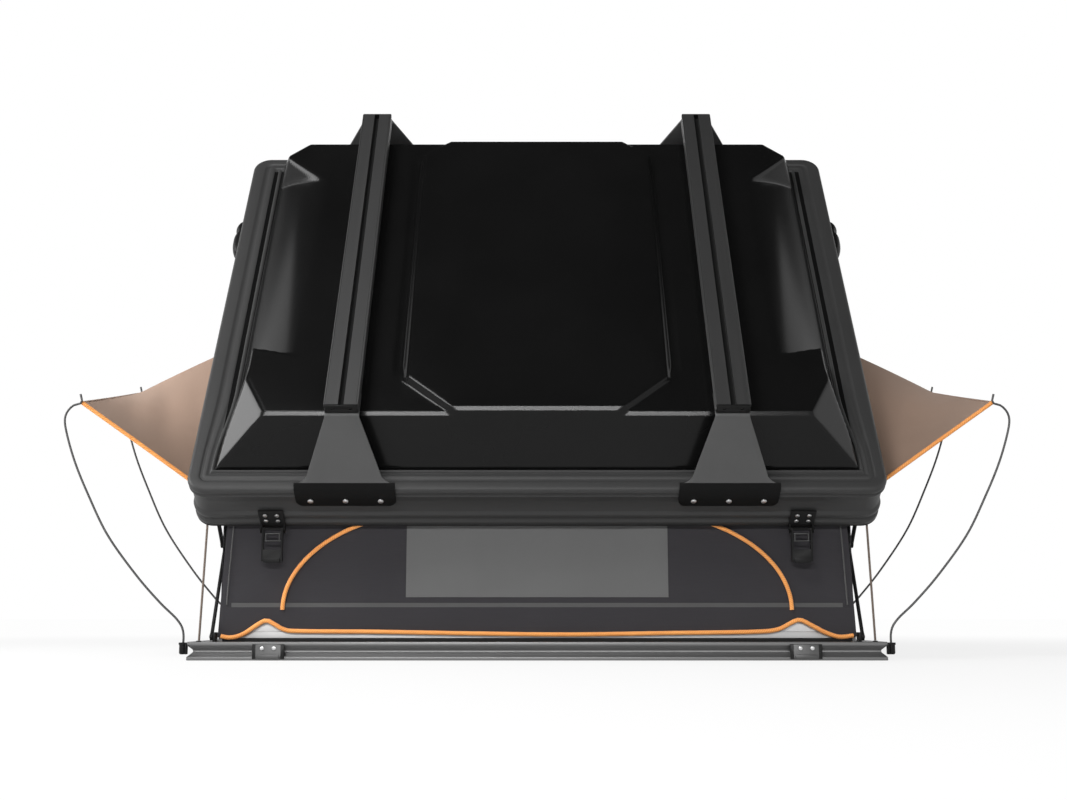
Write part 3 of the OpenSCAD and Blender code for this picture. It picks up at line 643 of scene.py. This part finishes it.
# ribbed rim of the lid, as points of its section: distance in from the outline, and height
rim = {"turn": 12, "along": 40, "tightest": 0.004, "drawFrom": 0.016, "drawX": (0.88, 0.94), "section": [
    (0.0098, 0.0), (0.005, 0.0), (0.0018, 0.0014), (0.0, 0.005), (0.0, 0.017), (0.0008, 0.0195),
    (0.0064, 0.0250), (0.0072, 0.027), (0.0072, 0.034), (0.0064, 0.036), (0.0008, 0.0385), (0.0, 0.041),
    (0.0, 0.051), (0.0008, 0.0535), (0.0064, 0.0595), (0.0072, 0.062), (0.0072, 0.128), (0.0064, 0.131),
    (0.0012, 0.1345), (0.0004, 0.1365), (0.0008, 0.1390), (0.0052, 0.1430), (0.0056, 0.1455),
    (0.0050, 0.1475), (0.0010, 0.150), (0.0, 0.1535), (0.0004, 0.158),
    (0.002, 0.1625), (0.005, 0.1665), (0.009, 0.1690), (0.014, 0.170), (0.033, 0.170), (0.0365, 0.169),
    (0.039, 0.1665), (0.045, 0.1663), (0.0475, 0.1675), (0.050, 0.169), (0.057, 0.169), (0.0595, 0.168),
    (0.0625, 0.1663), (0.0675, 0.1663), (0.0695, 0.169), (0.0715, 0.1722), (0.0735, 0.173), (0.0765, 0.1722),
    (0.0785, 0.1695), (0.0805, 0.1665), (0.0817, 0.163), (0.0817, 0.1582), (0.0104, 0.1582), (0.0098, 0.157)]}


# one ring round the lid; its inner part follows the drawn-in foot of the shell
def ringAt(inset, height):
    halfX, depth, turn = lid["width"] / 2, lid["depth"], rim["turn"]
    radius = max(lid["corner"] - inset, rim["tightest"])
    centreX = halfX - inset - radius
    nearY, farY = inset + radius, depth - inset - radius
    points = []
    for quarter, (signX, atY) in enumerate([(1, farY), (-1, farY), (-1, nearY), (1, nearY)]):
        for step in range(turn + 1):
            angle = math.pi / 2 * (quarter + step / turn)
            x, y = signX * centreX + radius * math.cos(angle), atY + radius * math.sin(angle)
            points.append((x, y, height))
        if quarter % 2:
            reach = signX * (centreX + radius)
            path = np.linspace(atY, nearY if signX < 0 else farY, rim["along"] + 2)[1:-1]
            points += [(reach, y, height) for y in path]
    inward = min(max((inset - rim["drawFrom"]) / (lid["flange"] - rim["drawFrom"]), 0), 1)
    drawn = inward * (shell["halfX"] - shell["waist"])
    share = [riseOver(y, *shell["waistFrom"]) * riseOver(abs(x), *rim["drawX"]) for x, y, z in points]
    return [(x - math.copysign(drawn * k, x), y, z) for (x, y, z), k in zip(points, share)]


rimPoints = np.array([ringAt(inset, height) for inset, height in rim["section"]]).transpose(1, 0, 2)
lidRim = loopPiece("lidRim", inLid(rimPoints), True, 40)
dress(lidRim, "lid", "frame_plastic", "lid_frame", "lid_flange")
print("rim modelled")

# slotted crossbars
bar = {"x": 0.572, "width": 0.102, "height": 0.034, "top": 0.405, "near": 0.13, "far": 1.55, "slot": 0.016,
       "well": 0.026, "lip": 0.0095, "wellDeep": 0.020, "fine": 0.0008, "ease": 0.0015, "line": 0.0455,
       "waist": (0.012, 0.0135, 0.003), "endEase": 0.0012, "endShare": 0.976}


# right half of the section from the slot outwards, with the left half mirrored
def barSection():
    half, slot, well, top = bar["width"] / 2, bar["slot"] / 2, bar["well"] / 2, bar["top"]
    low, ease, fine, line, lip = top - bar["height"], bar["ease"], bar["fine"], bar["line"], bar["lip"]
    waistFrom, waistTo, waistIn = bar["waist"]
    right = [(slot, top - lip), (slot, top - fine), (slot + fine, top), (line - 2 * fine, top),
             (line - fine, top - fine), (line + fine, top - fine), (line + 2 * fine, top), (half - ease, top),
             (half, top - ease), (half, top - waistFrom), (half - waistIn, top - waistTo),
             (half - waistIn, low + waistTo), (half, low + waistFrom), (half, low + ease), (half - ease, low)]
    inner = [(well, top - bar["wellDeep"]), (well, top - lip)]
    return inner + right + [(-u, z) for u, z in reversed(right)] + [(-u, z) for u, z in reversed(inner)]


for sign, side in sides:
    near, far, ease = bar["near"], bar["far"], bar["endEase"]
    stations = [(near, bar["endShare"]), (near + ease, 1), (far - ease, 1), (far, bar["endShare"])]
    points = [[(sign * bar["x"] + u * share, y, z) for u, z in barSection()] for y, share in stations]
    piece = loopPiece("crossbar" + side.title(), inLid(np.array(points)), False, 30)
    dress(piece, "lid", "bar_metal", "crossbar_" + side)
print("crossbars modelled")

# long grip and lower clip on each side of the lid: middle, half length, reach, height and half height
catches = {"shapes": [(1.205, 0.086, 0.034, 0.098, 0.040), (0.816, 0.062, 0.019, 0.060, 0.024)],
           "cells": (41, 21), "waist": (0.30, 0.25, 0.16), "sunk": 0.0005}


def catchPart(sign, middle, half, reach, height, tall):
    rows, cols = catches["cells"]
    deep, waistAt, waistWide = catches["waist"]
    turn, along = np.meshgrid(np.linspace(-math.pi / 2, math.pi / 2, cols), np.linspace(-1, 1, rows))
    swell = (1 - np.abs(along) ** 3.5) ** 0.45
    waist = 1 - deep * np.exp(-((along - waistAt) / waistWide) ** 2)
    out = reach * swell * waist * np.abs(np.cos(turn)) ** 0.55
    x = sign * (lid["width"] / 2 - catches["sunk"] + out)
    z = height + tall * (0.45 + 0.55 * swell) * np.sin(turn)
    return sealed(gridPiece("catch", inLid(np.stack([x, middle + half * along, z], axis=2)), sign > 0))


parts = [catchPart(sign, *shape) for sign, side in sides for shape in catches["shapes"]]
dress(joined(parts, "sideLatches", 40), "lid", "black_metal", "side_latches")
print("side catches modelled")

# near brackets: one plate folded over the rim and up to the bar, as (y, z, half width) along the fold
bracket = {"thick": 0.006, "cols": 13, "edge": 0.001, "fold": [
    (-0.006, 0.102, 0.133), (-0.006, 0.108, 0.142), (-0.006, 0.118, 0.149), (-0.006, 0.126, 0.150),
    (-0.006, 0.1745, 0.150), (-0.0045, 0.1772, 0.150), (0.0088, 0.1928, 0.150), (0.0092, 0.1933, 0.134),
    (0.0130, 0.1985, 0.122), (0.0185, 0.2075, 0.112), (0.116, 0.3622, 0.0515), (0.1185, 0.3662, 0.051),
    (0.1225, 0.3694, 0.051), (0.1275, 0.3704, 0.051), (0.208, 0.3704, 0.051)]}
for sign, side in sides:
    across = np.linspace(-1, 1, bracket["cols"])
    points = [[(sign * bar["x"] + u * half, y, z) for u in across] for y, z, half in bracket["fold"]]
    piece = gridPiece("bracketNear" + side.title(), inLid(np.array(points)))
    applyModifier(piece, "SOLIDIFY", thickness=bracket["thick"], offset=-1.0)
    applyModifier(piece, "BEVEL", width=bracket["edge"], segments=2, limit_method="ANGLE",
                  angle_limit=math.radians(60))
    smoothByAngle(piece, 35)
    dress(piece, "lid", "bar_metal", "bracket_near_" + side, look="bracket")
print("near brackets modelled")

# canvas at the front, from its waved hem up into the lid
front = {"bottomY": -0.7453, "top": (0.0715, 0.010), "thick": 0.0012, "halfLow": 0.968, "halfTop": 0.95,
         "fold": 0.0045, "crease": 0.0012, "out": 0.0028, "taperFrom": 0.08, "cells": (241, 49),
         "hem": 0.0068, "hemRise": 0.003, "hemIn": 0.010,
         "wave": [(-1, 0.068), (-0.968, 0.064), (-0.93, 0.074), (-0.895, 0.096), (-0.86, 0.115),
                  (-0.832, 0.104), (-0.80, 0.088), (-0.75, 0.083), (-0.5, 0.081), (-0.2, 0.076), (0.1, 0.073),
                  (0.4, 0.077), (0.68, 0.081), (0.76, 0.088), (0.80, 0.106), (0.832, 0.117), (0.87, 0.100),
                  (0.91, 0.080), (0.955, 0.066), (1, 0.070)],
         "skirt": {"high": 0.158, "lift": 0.0022, "rows": 15, "taper": 0.004},
         "band": {"half": 0.93, "z": (0.157, 0.171), "lift": 0.0018, "cells": (181, 5)},
         "window": {"half": 0.40, "low": 0.188, "under": 0.004, "lift": 0.0018, "cells": (121, 31)}}
frontTop = onLid(0, *front["top"])
wavePath = smoothRoute([(u, 0, z) for u, z in front["wave"]], 400)


def hemAt(x):
    return np.interp(x / front["halfLow"], wavePath[:, 0], wavePath[:, 2])


def frontY(x, z):
    low = hemAt(x)
    k = np.clip((z - low) / (frontTop[2] - low), 0, 1)
    u = x / front["halfLow"]
    fold = front["fold"] * (1 + np.sin(np.radians(u * 1100))) / 2 * (1 - k) * k * 4
    crease = front["crease"] * np.sin(9 * u + 14 * k) * np.sin(23 * u - 8 * k) * (1 - k) * k * 4
    return between(front["bottomY"], frontTop[1], k) - front["out"] - fold - crease


# sheet over the front, from low to high, standing off by lift and narrowing upwards by taper
def frontSheet(name, half, low, high, lift, cells, taper=0.0):
    u, k = np.meshgrid(np.linspace(0, 1, cells[0]), np.linspace(0, 1, cells[1]))
    x = between(-half, half, u)
    z = between(low(x) if callable(low) else low, high, k)
    x = x * (1 - taper * (z - front["taperFrom"]) / (high - front["taperFrom"]))
    return clothPiece(name, np.stack([x, frontY(x, z) - lift, z], axis=2), front["thick"])


frontHalf, frontHigh = front["halfLow"], frontTop[2]
frontTaper = 1 - front["halfTop"] / frontHalf
frontWall = frontSheet("frontWall", frontHalf, hemAt, frontHigh, 0, front["cells"], frontTaper)
skirt, band, window = front["skirt"], front["band"], front["window"]
frontSkirt = frontSheet("frontSkirt", frontHalf, hemAt, skirt["high"], skirt["lift"],
                        (front["cells"][0], skirt["rows"]), skirt["taper"])
seamBand = frontSheet("seamBand", band["half"], *band["z"], band["lift"], band["cells"])
windowPanel = frontSheet("windowPanel", window["half"], window["low"], frontHigh - window["under"],
                         window["lift"], window["cells"])


def frontTube(name, route, radius, faces=12):
    return tubePiece(name, [(x, frontY(x, z) - out, z) for x, z, out in route], radius, faces)


hemLine = [(u * (frontHalf - front["hemIn"]), hemAt(u * frontHalf) + front["hemRise"], front["hem"])
           for u in np.linspace(-1, 1, 161)]
frontHem = frontTube("frontHem", hemLine, front["hem"])
# arched piping of the door, and a thin trim at each upright edge
arch = {"foot": 0.774, "run": 0.480, "z": (0.150, 0.452), "radius": 0.0064, "out": 0.0062}
trim = {"x": (0.944, 0.929), "z": (0.165, 0.455), "radius": 0.0022, "out": 0.0035}
doorPipes, edgeTrims = [], []
for sign, side in sides:
    route = []
    for angle in np.linspace(0, math.pi / 2, 40):
        x = sign * (arch["foot"] - arch["run"] * (1 - math.cos(angle)))
        route.append((x, between(*arch["z"], math.sin(angle)), arch["out"]))
    doorPipes.append(frontTube("doorPiping" + side.title(), route, arch["radius"]))
    route = [(sign * between(*trim["x"], k), between(*trim["z"], k), trim["out"])
             for k in np.linspace(0, 1, 20)]
    edgeTrims.append(frontTube("edgeTrim" + side.title(), route, trim["radius"], 8))

dress(frontWall, "base", "canvas_grey", "front_wall")
dress(frontSkirt, "base", "canvas_grey")
dress(seamBand, "base", "canvas_grey", look="tape")
dress(windowPanel, "base", "canvas_grey", look="window")
dress(frontHem, "base", "piping_orange", "front_hem")
for pipe, edge in zip(doorPipes, edgeTrims):
    dress(pipe, "base", "piping_orange")
    dress(edge, "base", "canvas_grey", look="tape")
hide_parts("door_piping")
for piece in [frontWall, frontSkirt, seamBand, windowPanel, frontHem] + doorPipes + edgeTrims:
    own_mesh(piece)

# pale sill that shows under the raised parts of the hem
sill = {"half": 0.955, "stations": 33, "section": [
    (-0.7405, 0.084), (-0.7425, 0.084), (-0.7425, 0.119), (-0.7419, 0.1212), (-0.7405, 0.122)]}
stations = np.linspace(-sill["half"], sill["half"], sill["stations"])
points = np.array([[(x, y, z) for y, z in sill["section"]] for x in stations])
dress(loopPiece("baseSill", points, False, 40), "base", "anodised", look="upstand")

# dark strip lying on the front rail: painted shade, a dark sheet where the shadow line between hem and rail
# falls
shadeStrip = {"size": (1.91, 0.006, 0.0105), "middle": (0, -0.7495, 0.0604), "round": 0.0018}
baseGasket = boxPiece("baseGasket", shadeStrip["size"], shadeStrip["middle"], shadeStrip["round"], 3)
smoothByAngle(baseGasket, 40)
dress(baseGasket, "base", "seal_rubber")
print("front canvas modelled")

# canvas at the back and sides
wall = {"rearLow": (0.7413, 0.0855), "rearTop": (1.5295, 0.008), "rearHalf": 0.957, "sideX": 0.966,
        "sideLow": (-0.733, 0.733), "sideTop": (0.086, 0.012), "rearBelly": 0.003, "sideBelly": 0.005,
        "crease": 0.003, "outward": (0.92, 0.38),
        # spans of a wall and of its window, with their cells, and the width of the tape round the window
        "rear": {"wall": ((-1, 1), (0, 1)), "cells": (121, 81), "window": ((-0.58, 0.58), (0.34, 0.74)),
                 "paneCells": (81, 41), "tape": (0.016, 0.0095)},
        "side": {"wall": ((0, 1), (0, 1)), "cells": (81, 61), "window": ((0.26, 0.62), (0.30, 0.66)),
                 "paneCells": (41, 41), "tape": (0.012, 0.016)},
        "tapeCells": {"flat": (81, 4), "upright": (4, 61)},
        # how far each cloth stands off its wall, and how thick it is
        "layers": {"wall": (0, 0.0014), "window": (0.0022, 0.001), "tape": (0.0034, 0.0009)},
        "seam": {"x": 0.9615, "foot": (0.7372, 0.0875), "head": (1.5215, 0.010), "radius": 0.005}}
rearTop = onLid(0, *wall["rearTop"])


# place on the rear wall: u across from -1 to 1, k from the base up, lift off the cloth
def rearAt(u, k, lift):
    lowY, lowZ = wall["rearLow"]
    outY, outZ = wall["outward"]
    bow = np.sin(math.pi * k)
    belly = wall["rearBelly"] * bow * (1 - u ** 4)
    crease = wall["crease"] * np.sin(7 * u + 5 * k) * np.sin(11 * k + 3 * u) * bow * (1 - u ** 8)
    pull = wall["crease"] * np.sin(18 * u) * np.exp(-6 * k) * bow * (1 - u ** 8)
    y = between(lowY, rearTop[1], k) - belly - crease - pull + outY * lift
    return np.stack([u * wall["rearHalf"], y, between(lowZ, rearTop[2], k) + outZ * lift], axis=-1)


# place on a side wall: u from front to back, k from the base up
def sideAt(sign, u, k, lift):
    inset, level = wall["sideTop"]
    top = between(onLid(0, inset, level), onLid(0, lid["depth"] - inset, level), u[..., None])
    bow = np.sin(math.pi * k) * np.sin(math.pi * u)
    belly = wall["sideBelly"] * bow
    crease = wall["crease"] * np.sin(8 * u + 6 * k) * np.sin(10 * k - 4 * u) * bow
    x = sign * (wall["sideX"] - belly - crease + lift)
    y = between(between(*wall["sideLow"], u), top[..., 1], k)
    return np.stack([x, y, between(wall["rearLow"][1], top[..., 2], k)], axis=-1)


def wallSheet(name, place, span, cells, layer, flip):
    lift, thick = wall["layers"][layer]
    u, k = np.meshgrid(*(np.linspace(*ends, count) for ends, count in zip(span, cells)))
    return clothPiece(name, place(u, k, lift), thick, flip)


# a wall, the window in it and four strips of tape round that, all gathered alike
def buildWall(side, place, values, flip):
    piece = wallSheet(side + "Wall", place, values["wall"], values["cells"], "wall", flip)
    dress(piece, "base", "canvas_grey", side + "_wall")
    pane = wallSheet(side + "Window", place, values["window"], values["paneCells"], "window", flip)
    dress(pane, "base", "canvas_grey", look="window")
    ((u0, u1), (k0, k1)), (wideU, wideK) = values["window"], values["tape"]
    across = (u0 - wideU, u1 + wideU)
    strips = {"Low": (across, (k0 - wideK, k0), "flat"), "High": (across, (k1, k1 + wideK), "flat"),
              "Near": ((u0 - wideU, u0), (k0, k1), "upright"), "Far": ((u1, u1 + wideU), (k0, k1), "upright")}
    tapes = []
    for part, (*span, lie) in strips.items():
        tape = wallSheet(side + "Tape" + part, place, span, wall["tapeCells"][lie], "tape", flip)
        tapes.append(dress(tape, "base", "canvas_grey", look="tape"))
    for part in [piece, pane] + tapes:
        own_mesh(part)
    return piece, pane, tapes


rearWall, rearWindow, rearTapes = buildWall("rear", rearAt, wall["rear"], True)
# side walls, and the corded seams where they meet the back
sideWalls, sideWindows, seamLine = [], [], wall["seam"]
for sign, side in sides:
    piece, pane, tapes = buildWall(side, partial(sideAt, sign), wall["side"], sign < 0)
    foot = np.array((sign * seamLine["x"], *seamLine["foot"]))
    head = onLid(sign * seamLine["x"], *seamLine["head"])
    route = [between(foot, head, k) for k in np.linspace(0, 1, 30)]
    seam = tubePiece("cornerSeam" + side.title(), route, seamLine["radius"])
    dress(seam, "base", "canvas_grey")
    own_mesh(seam)
    sideWalls.append((piece, seam))
    sideWindows.append((pane, tapes))
print("back and side canvas modelled")

# awnings: a sheet from the lid's side out to the poles, its free edges cut in a little
awning = {"inner": (0.145, 0.750), "innerZ": 0.006, "halfIn": 1.0504, "reach": (1.405, 1.440),
          "outerZ": (0.784, 0.926), "outerY": (-0.780, -0.039), "sag": 0.012, "hollow": 0.008, "pull": 0.005,
          "ripple": 0.003, "thick": 0.0012, "cells": (61, 49), "edge": 0.0062, "hem": 0.0034,
          "edgeShift": (0, -0.001, -0.0006), "hemShift": (0, 0, -0.0006)}


def awningPoints(sign):
    v, u = np.meshgrid(*(np.linspace(0, 1, count) for count in awning["cells"]))
    nearIn, farIn = (onLid(awning["halfIn"], y, awning["innerZ"]) for y in awning["inner"])
    nearOut, farOut = np.array([awning["reach"], awning["outerY"], awning["outerZ"]]).T
    inner, outer = (between(a, b, v[..., None]) for a, b in ((nearIn, farIn), (nearOut, farOut)))
    points = between(inner, outer, u[..., None])
    bow = np.sin(math.pi * u) * np.sin(math.pi * v)
    pull = awning["pull"] * np.sin(9 * v + 4 * u) + awning["ripple"] * np.sin(17 * u - 6 * v)
    points[:, :, 2] += (pull - awning["sag"]) * bow
    # free edges drawn in between the corners
    points[:, :, 1] += awning["hollow"] * np.sin(math.pi * u) * (1 - 2 * v)
    points[:, :, 0] -= awning["hollow"] * np.sin(math.pi * v) * u ** 3
    points[:, :, 0] *= sign
    return points


for sign, side in sides:
    points = awningPoints(sign)
    piece = clothPiece("awning" + side.title(), points, awning["thick"], sign > 0)
    dress(piece, "lid", "canvas_taupe", "awning_" + side)
    edge = tubePiece("awningEdge" + side.title(), points[:, 0] + awning["edgeShift"], awning["edge"], 10)
    dress(edge, "lid", "piping_orange")
    hem = tubePiece("awningHem" + side.title(), points[-1] + awning["hemShift"], awning["hem"], 8)
    dress(hem, "lid", "canvas_taupe")
    for cloth in (piece, edge, hem):
        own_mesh(cloth)
print("awnings modelled")

# bowed poles that spring from the base to the awnings' outer corners
pole = {"x": 1.063, "base": 0.046, "reach": (0.394, 0.429), "rise": (0.746, 0.888),
        "radius": 0.0034, "y": (-0.792, -0.027), "foot": 0.0217,
        "route": [(0, -0.03), (0, 0.05), (0.05, 0.10), (0.19, 0.17), (0.38, 0.28), (0.61, 0.44), (0.77, 0.60),
                  (0.89, 0.74), (0.97, 0.87), (0.98, 0.93), (0.93, 0.97), (0.86, 0.985), (0.87, 1.02)]}
for sign, side in sides:
    for place, y, reach, rise in zip(("near", "far"), pole["y"], pole["reach"], pole["rise"]):
        points = [(sign * (pole["x"] + a * reach), y, pole["base"] + max(b * rise, -pole["foot"]))
                  for a, b in pole["route"]]
        piece = tubePiece("pole" + place.title() + side.title(), smoothRoute(points, 90), pole["radius"], 10)
        dress(piece, "base", "pole_steel", "pole_" + place + "_" + side)
        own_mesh(piece)
print("poles modelled")

# sockets of the poles: a stepped collar on a small plate, modelled once and copied
socket = {"plate": (0.004, 0.026, 0.032), "plateAt": (-0.0108, 0, 0.034), "plateEdge": 0.0014, "turns": 33,
          "profile": [(0.0050, 0.024), (0.0050, 0.053), (0.0115, 0.053), (0.0125, 0.052), (0.0125, 0.047),
                      (0.0105, 0.045), (0.0105, 0.022), (0.0075, 0.018)]}


def buildSockets():
    turn = np.linspace(0, 2 * math.pi, socket["turns"])
    rings = [[(r * math.cos(a), r * math.sin(a), z) for a in turn] for r, z in socket["profile"]]
    collar = sealed(gridPiece("socketCollar", np.array(rings)))
    plate = boxPiece("socketPlate", socket["plate"], socket["plateAt"], socket["plateEdge"], 2)
    copies = []
    for sign, side in sides:
        turned = Matrix.Rotation(math.pi if sign < 0 else 0, 4, "Z")
        for y in pole["y"]:
            for part in (collar, plate):
                copy = part.copy()
                copy.data = part.data.copy()
                bpy.context.scene.collection.objects.link(copy)
                copy.data.transform(Matrix.Translation((sign * pole["x"], y, 0)) @ turned)
                copies.append(copy)
    for part in (collar, plate):
        bpy.data.objects.remove(part)
    return dress(joined(copies, "poleSockets", 40), "base", "black_metal", "pole_sockets")


buildSockets()
print("sockets modelled")

# taut elastic cords at the near corners
cord = {"low": (1.022, -0.762, 0.0584), "eye": (0.110, 0.050), "highX": 1.008, "drop": 0.0075,
        "diameter": 0.007}
for sign, side in sides:
    low = np.array((sign * cord["low"][0],) + cord["low"][1:])
    high = onLid(0, *cord["eye"]) + np.array((sign * cord["highX"], 0, -cord["drop"]))
    route = np.array([between(low, high, k) for k in np.linspace(0, 1, 24)])
    piece = tubePiece("cornerCord" + side.title(), route, cord["diameter"] / 2, 10)
    dress(piece, "base", "cord_elastic", "corner_cord_" + side)
    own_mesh(piece)
print("cords modelled")

# mattress with a crowned top and rolled edges
mattress = {"w": 1.816, "d": 1.430, "z": 0.0504, "thick": 0.062, "cells": (91, 73), "quilt": 0.0022,
            "tufts": (9, 7), "side": 0.42, "pinch": 0.012, "roll": 0.012}


def buildMattress():
    m = mattress
    u, v = np.meshgrid(*(np.linspace(-1, 1, count) for count in m["cells"]))
    crown = np.sqrt(np.clip(1 - u ** 10, 0, 1)) * np.sqrt(np.clip(1 - v ** 10, 0, 1))
    across, along = m["tufts"]
    tuft = np.sin(u * across * math.pi / 2) * np.sin(v * along * math.pi / 2)
    quilt = m["quilt"] * np.abs(tuft) ** 0.6
    top = m["z"] + m["thick"] * m["side"] + (m["thick"] * (1 - m["side"]) - m["quilt"] + quilt) * crown
    pinch = 1 - m["pinch"] * (1 - v ** 2)
    points = np.stack([u * m["w"] / 2 * pinch, v * m["d"] / 2, top], axis=2)
    points = np.pad(points, ((2, 2), (2, 2), (0, 0)), mode="edge")
    for ring, level in enumerate((m["z"], m["z"] + m["roll"])):
        for edge in borders(points, ring):
            edge[:, 2] = level
    piece = gridPiece("mattressPad", points)
    mergeDoubles(piece, 0.00001)
    closeHoles(piece)
    smoothByAngle(piece, 55)
    return dress(piece, "base", "mattress_cover", "mattress")


buildMattress()
print("mattress modelled")

[frontHem] + doorPipes + edgeTrims

# floor, light and camera
stageSet = {"camera": (-0.011, -5.104, 0.139), "pitch": 8.57, "lens": 47.8,
            "lamps": {"keyLeft": ((-4.2, -1.2, 2.0), (-0.9, -0.8, 0.6), 2.0, 120),
                      "fillRight": ((4.2, -1.2, 2.0), (0.9, -0.8, 0.6), 2.4, 17),
                      "upperLeft": ((-3.7, 0.45, 3.3), (-0.8, -0.7, 0.95), 1.2, 6),
                      "upperRight": ((3.7, 0.45, 3.3), (0.8, -0.7, 0.95), 1.2, 5),
                      "front": ((-0.8, -7.0, 2.7), (0, -0.8, 0.6), (4.4, 0.42), 225),
                      "above": ((-1.9, -3.4, 4.6), (0, -0.6, 0.6), 1.6, 112),
                      "back": ((0, 4.6, 3.6), (0, 0, 0.8), 3.0, 60)},
            "floor": {"size": 60, "level": -0.0005, "tone": 0.86, "share": (0.80, 0.985),
                      "reach": (1.8, 5.5)},
            "sky": {"seen": (0.44, 0.60, 1.0, 0.04), "light": (0.10, 0.70, 0.30, 0.10)}}


# rays that show the background: from the camera, off gloss and through glass
def seenRays(f):
    camera, glossy, through = (f.make("LightPath", "Is %s Ray" % kind)
                               for kind in ("Camera", "Glossy", "Transmission"))
    return (camera + glossy + through).math("MINIMUM", 1.0)


def buildFloor():
    values = stageSet["floor"]
    clearSelection()
    bpy.ops.mesh.primitive_plane_add(size=values["size"], location=(0, 0, values["level"]))
    floor = bpy.context.active_object
    floor.name = "floor"
    f = Finish("paleFloor")
    distance = f.make("VectorMath", "Value", {"operation": "LENGTH"}, Vector=f.where())
    low, high = values["share"]
    share = seenRays(f) * (low + (high - low) * f.step(distance, *values["reach"]))
    glow = f.make("Emission", "Emission", Color=(1, 1, 1, 1), Strength=1.0)
    mixed = f.make("MixShader", 0, None, {0: share, 1: Value(f.tree, f.surface.outputs[0]), 2: glow})
    f.tree.links.new(mixed.socket, f.tree.nodes["Material Output"].inputs["Surface"])
    floor.data.materials.append(f.finish(Base_Color=tone(values["tone"]), Roughness=0.9,
                                         Specular_IOR_Level=0.1))


# grey ramps over height: one that is seen, and one that lights the tent
def buildSky():
    f = Finish("studio", "worlds", "Background")
    height = f.make("SeparateXYZ", "Z", Vector=f.where("Generated"))
    levels = {}
    for name, (low, high, first, last) in stageSet["sky"].items():
        levels[name] = f.make("MapRange", "Result", Value=height, From_Min=low, From_Max=high,
                              To_Min=first, To_Max=last)
    seen = seenRays(f)
    strength = levels["seen"] * seen + levels["light"] * (1.0 - seen)
    bpy.context.scene.world = f.finish(Color=(1, 1, 1, 1), Strength=strength)


def buildStage():
    buildFloor()
    buildSky()
    for name, (place, target, size, power) in stageSet["lamps"].items():
        bpy.ops.object.light_add(type="AREA", location=place)
        lamp = bpy.context.active_object
        lamp.name = name
        lamp.data.shape = "RECTANGLE"
        lamp.data.size, lamp.data.size_y = size if isinstance(size, tuple) else (size, size)
        lamp.data.energy = power
        lamp.rotation_euler = (Vector(target) - Vector(place)).to_track_quat("-Z", "Y").to_euler()
    bpy.ops.object.camera_add(location=stageSet["camera"])
    camera = bpy.context.active_object
    camera.rotation_euler = (math.radians(90 + stageSet["pitch"]), 0, 0)
    camera.data.sensor_width = 36
    camera.data.lens = stageSet["lens"]
    bpy.context.scene.camera = camera
    bpy.context.scene.view_settings.view_transform = "Standard"


buildStage()
print("stage set")
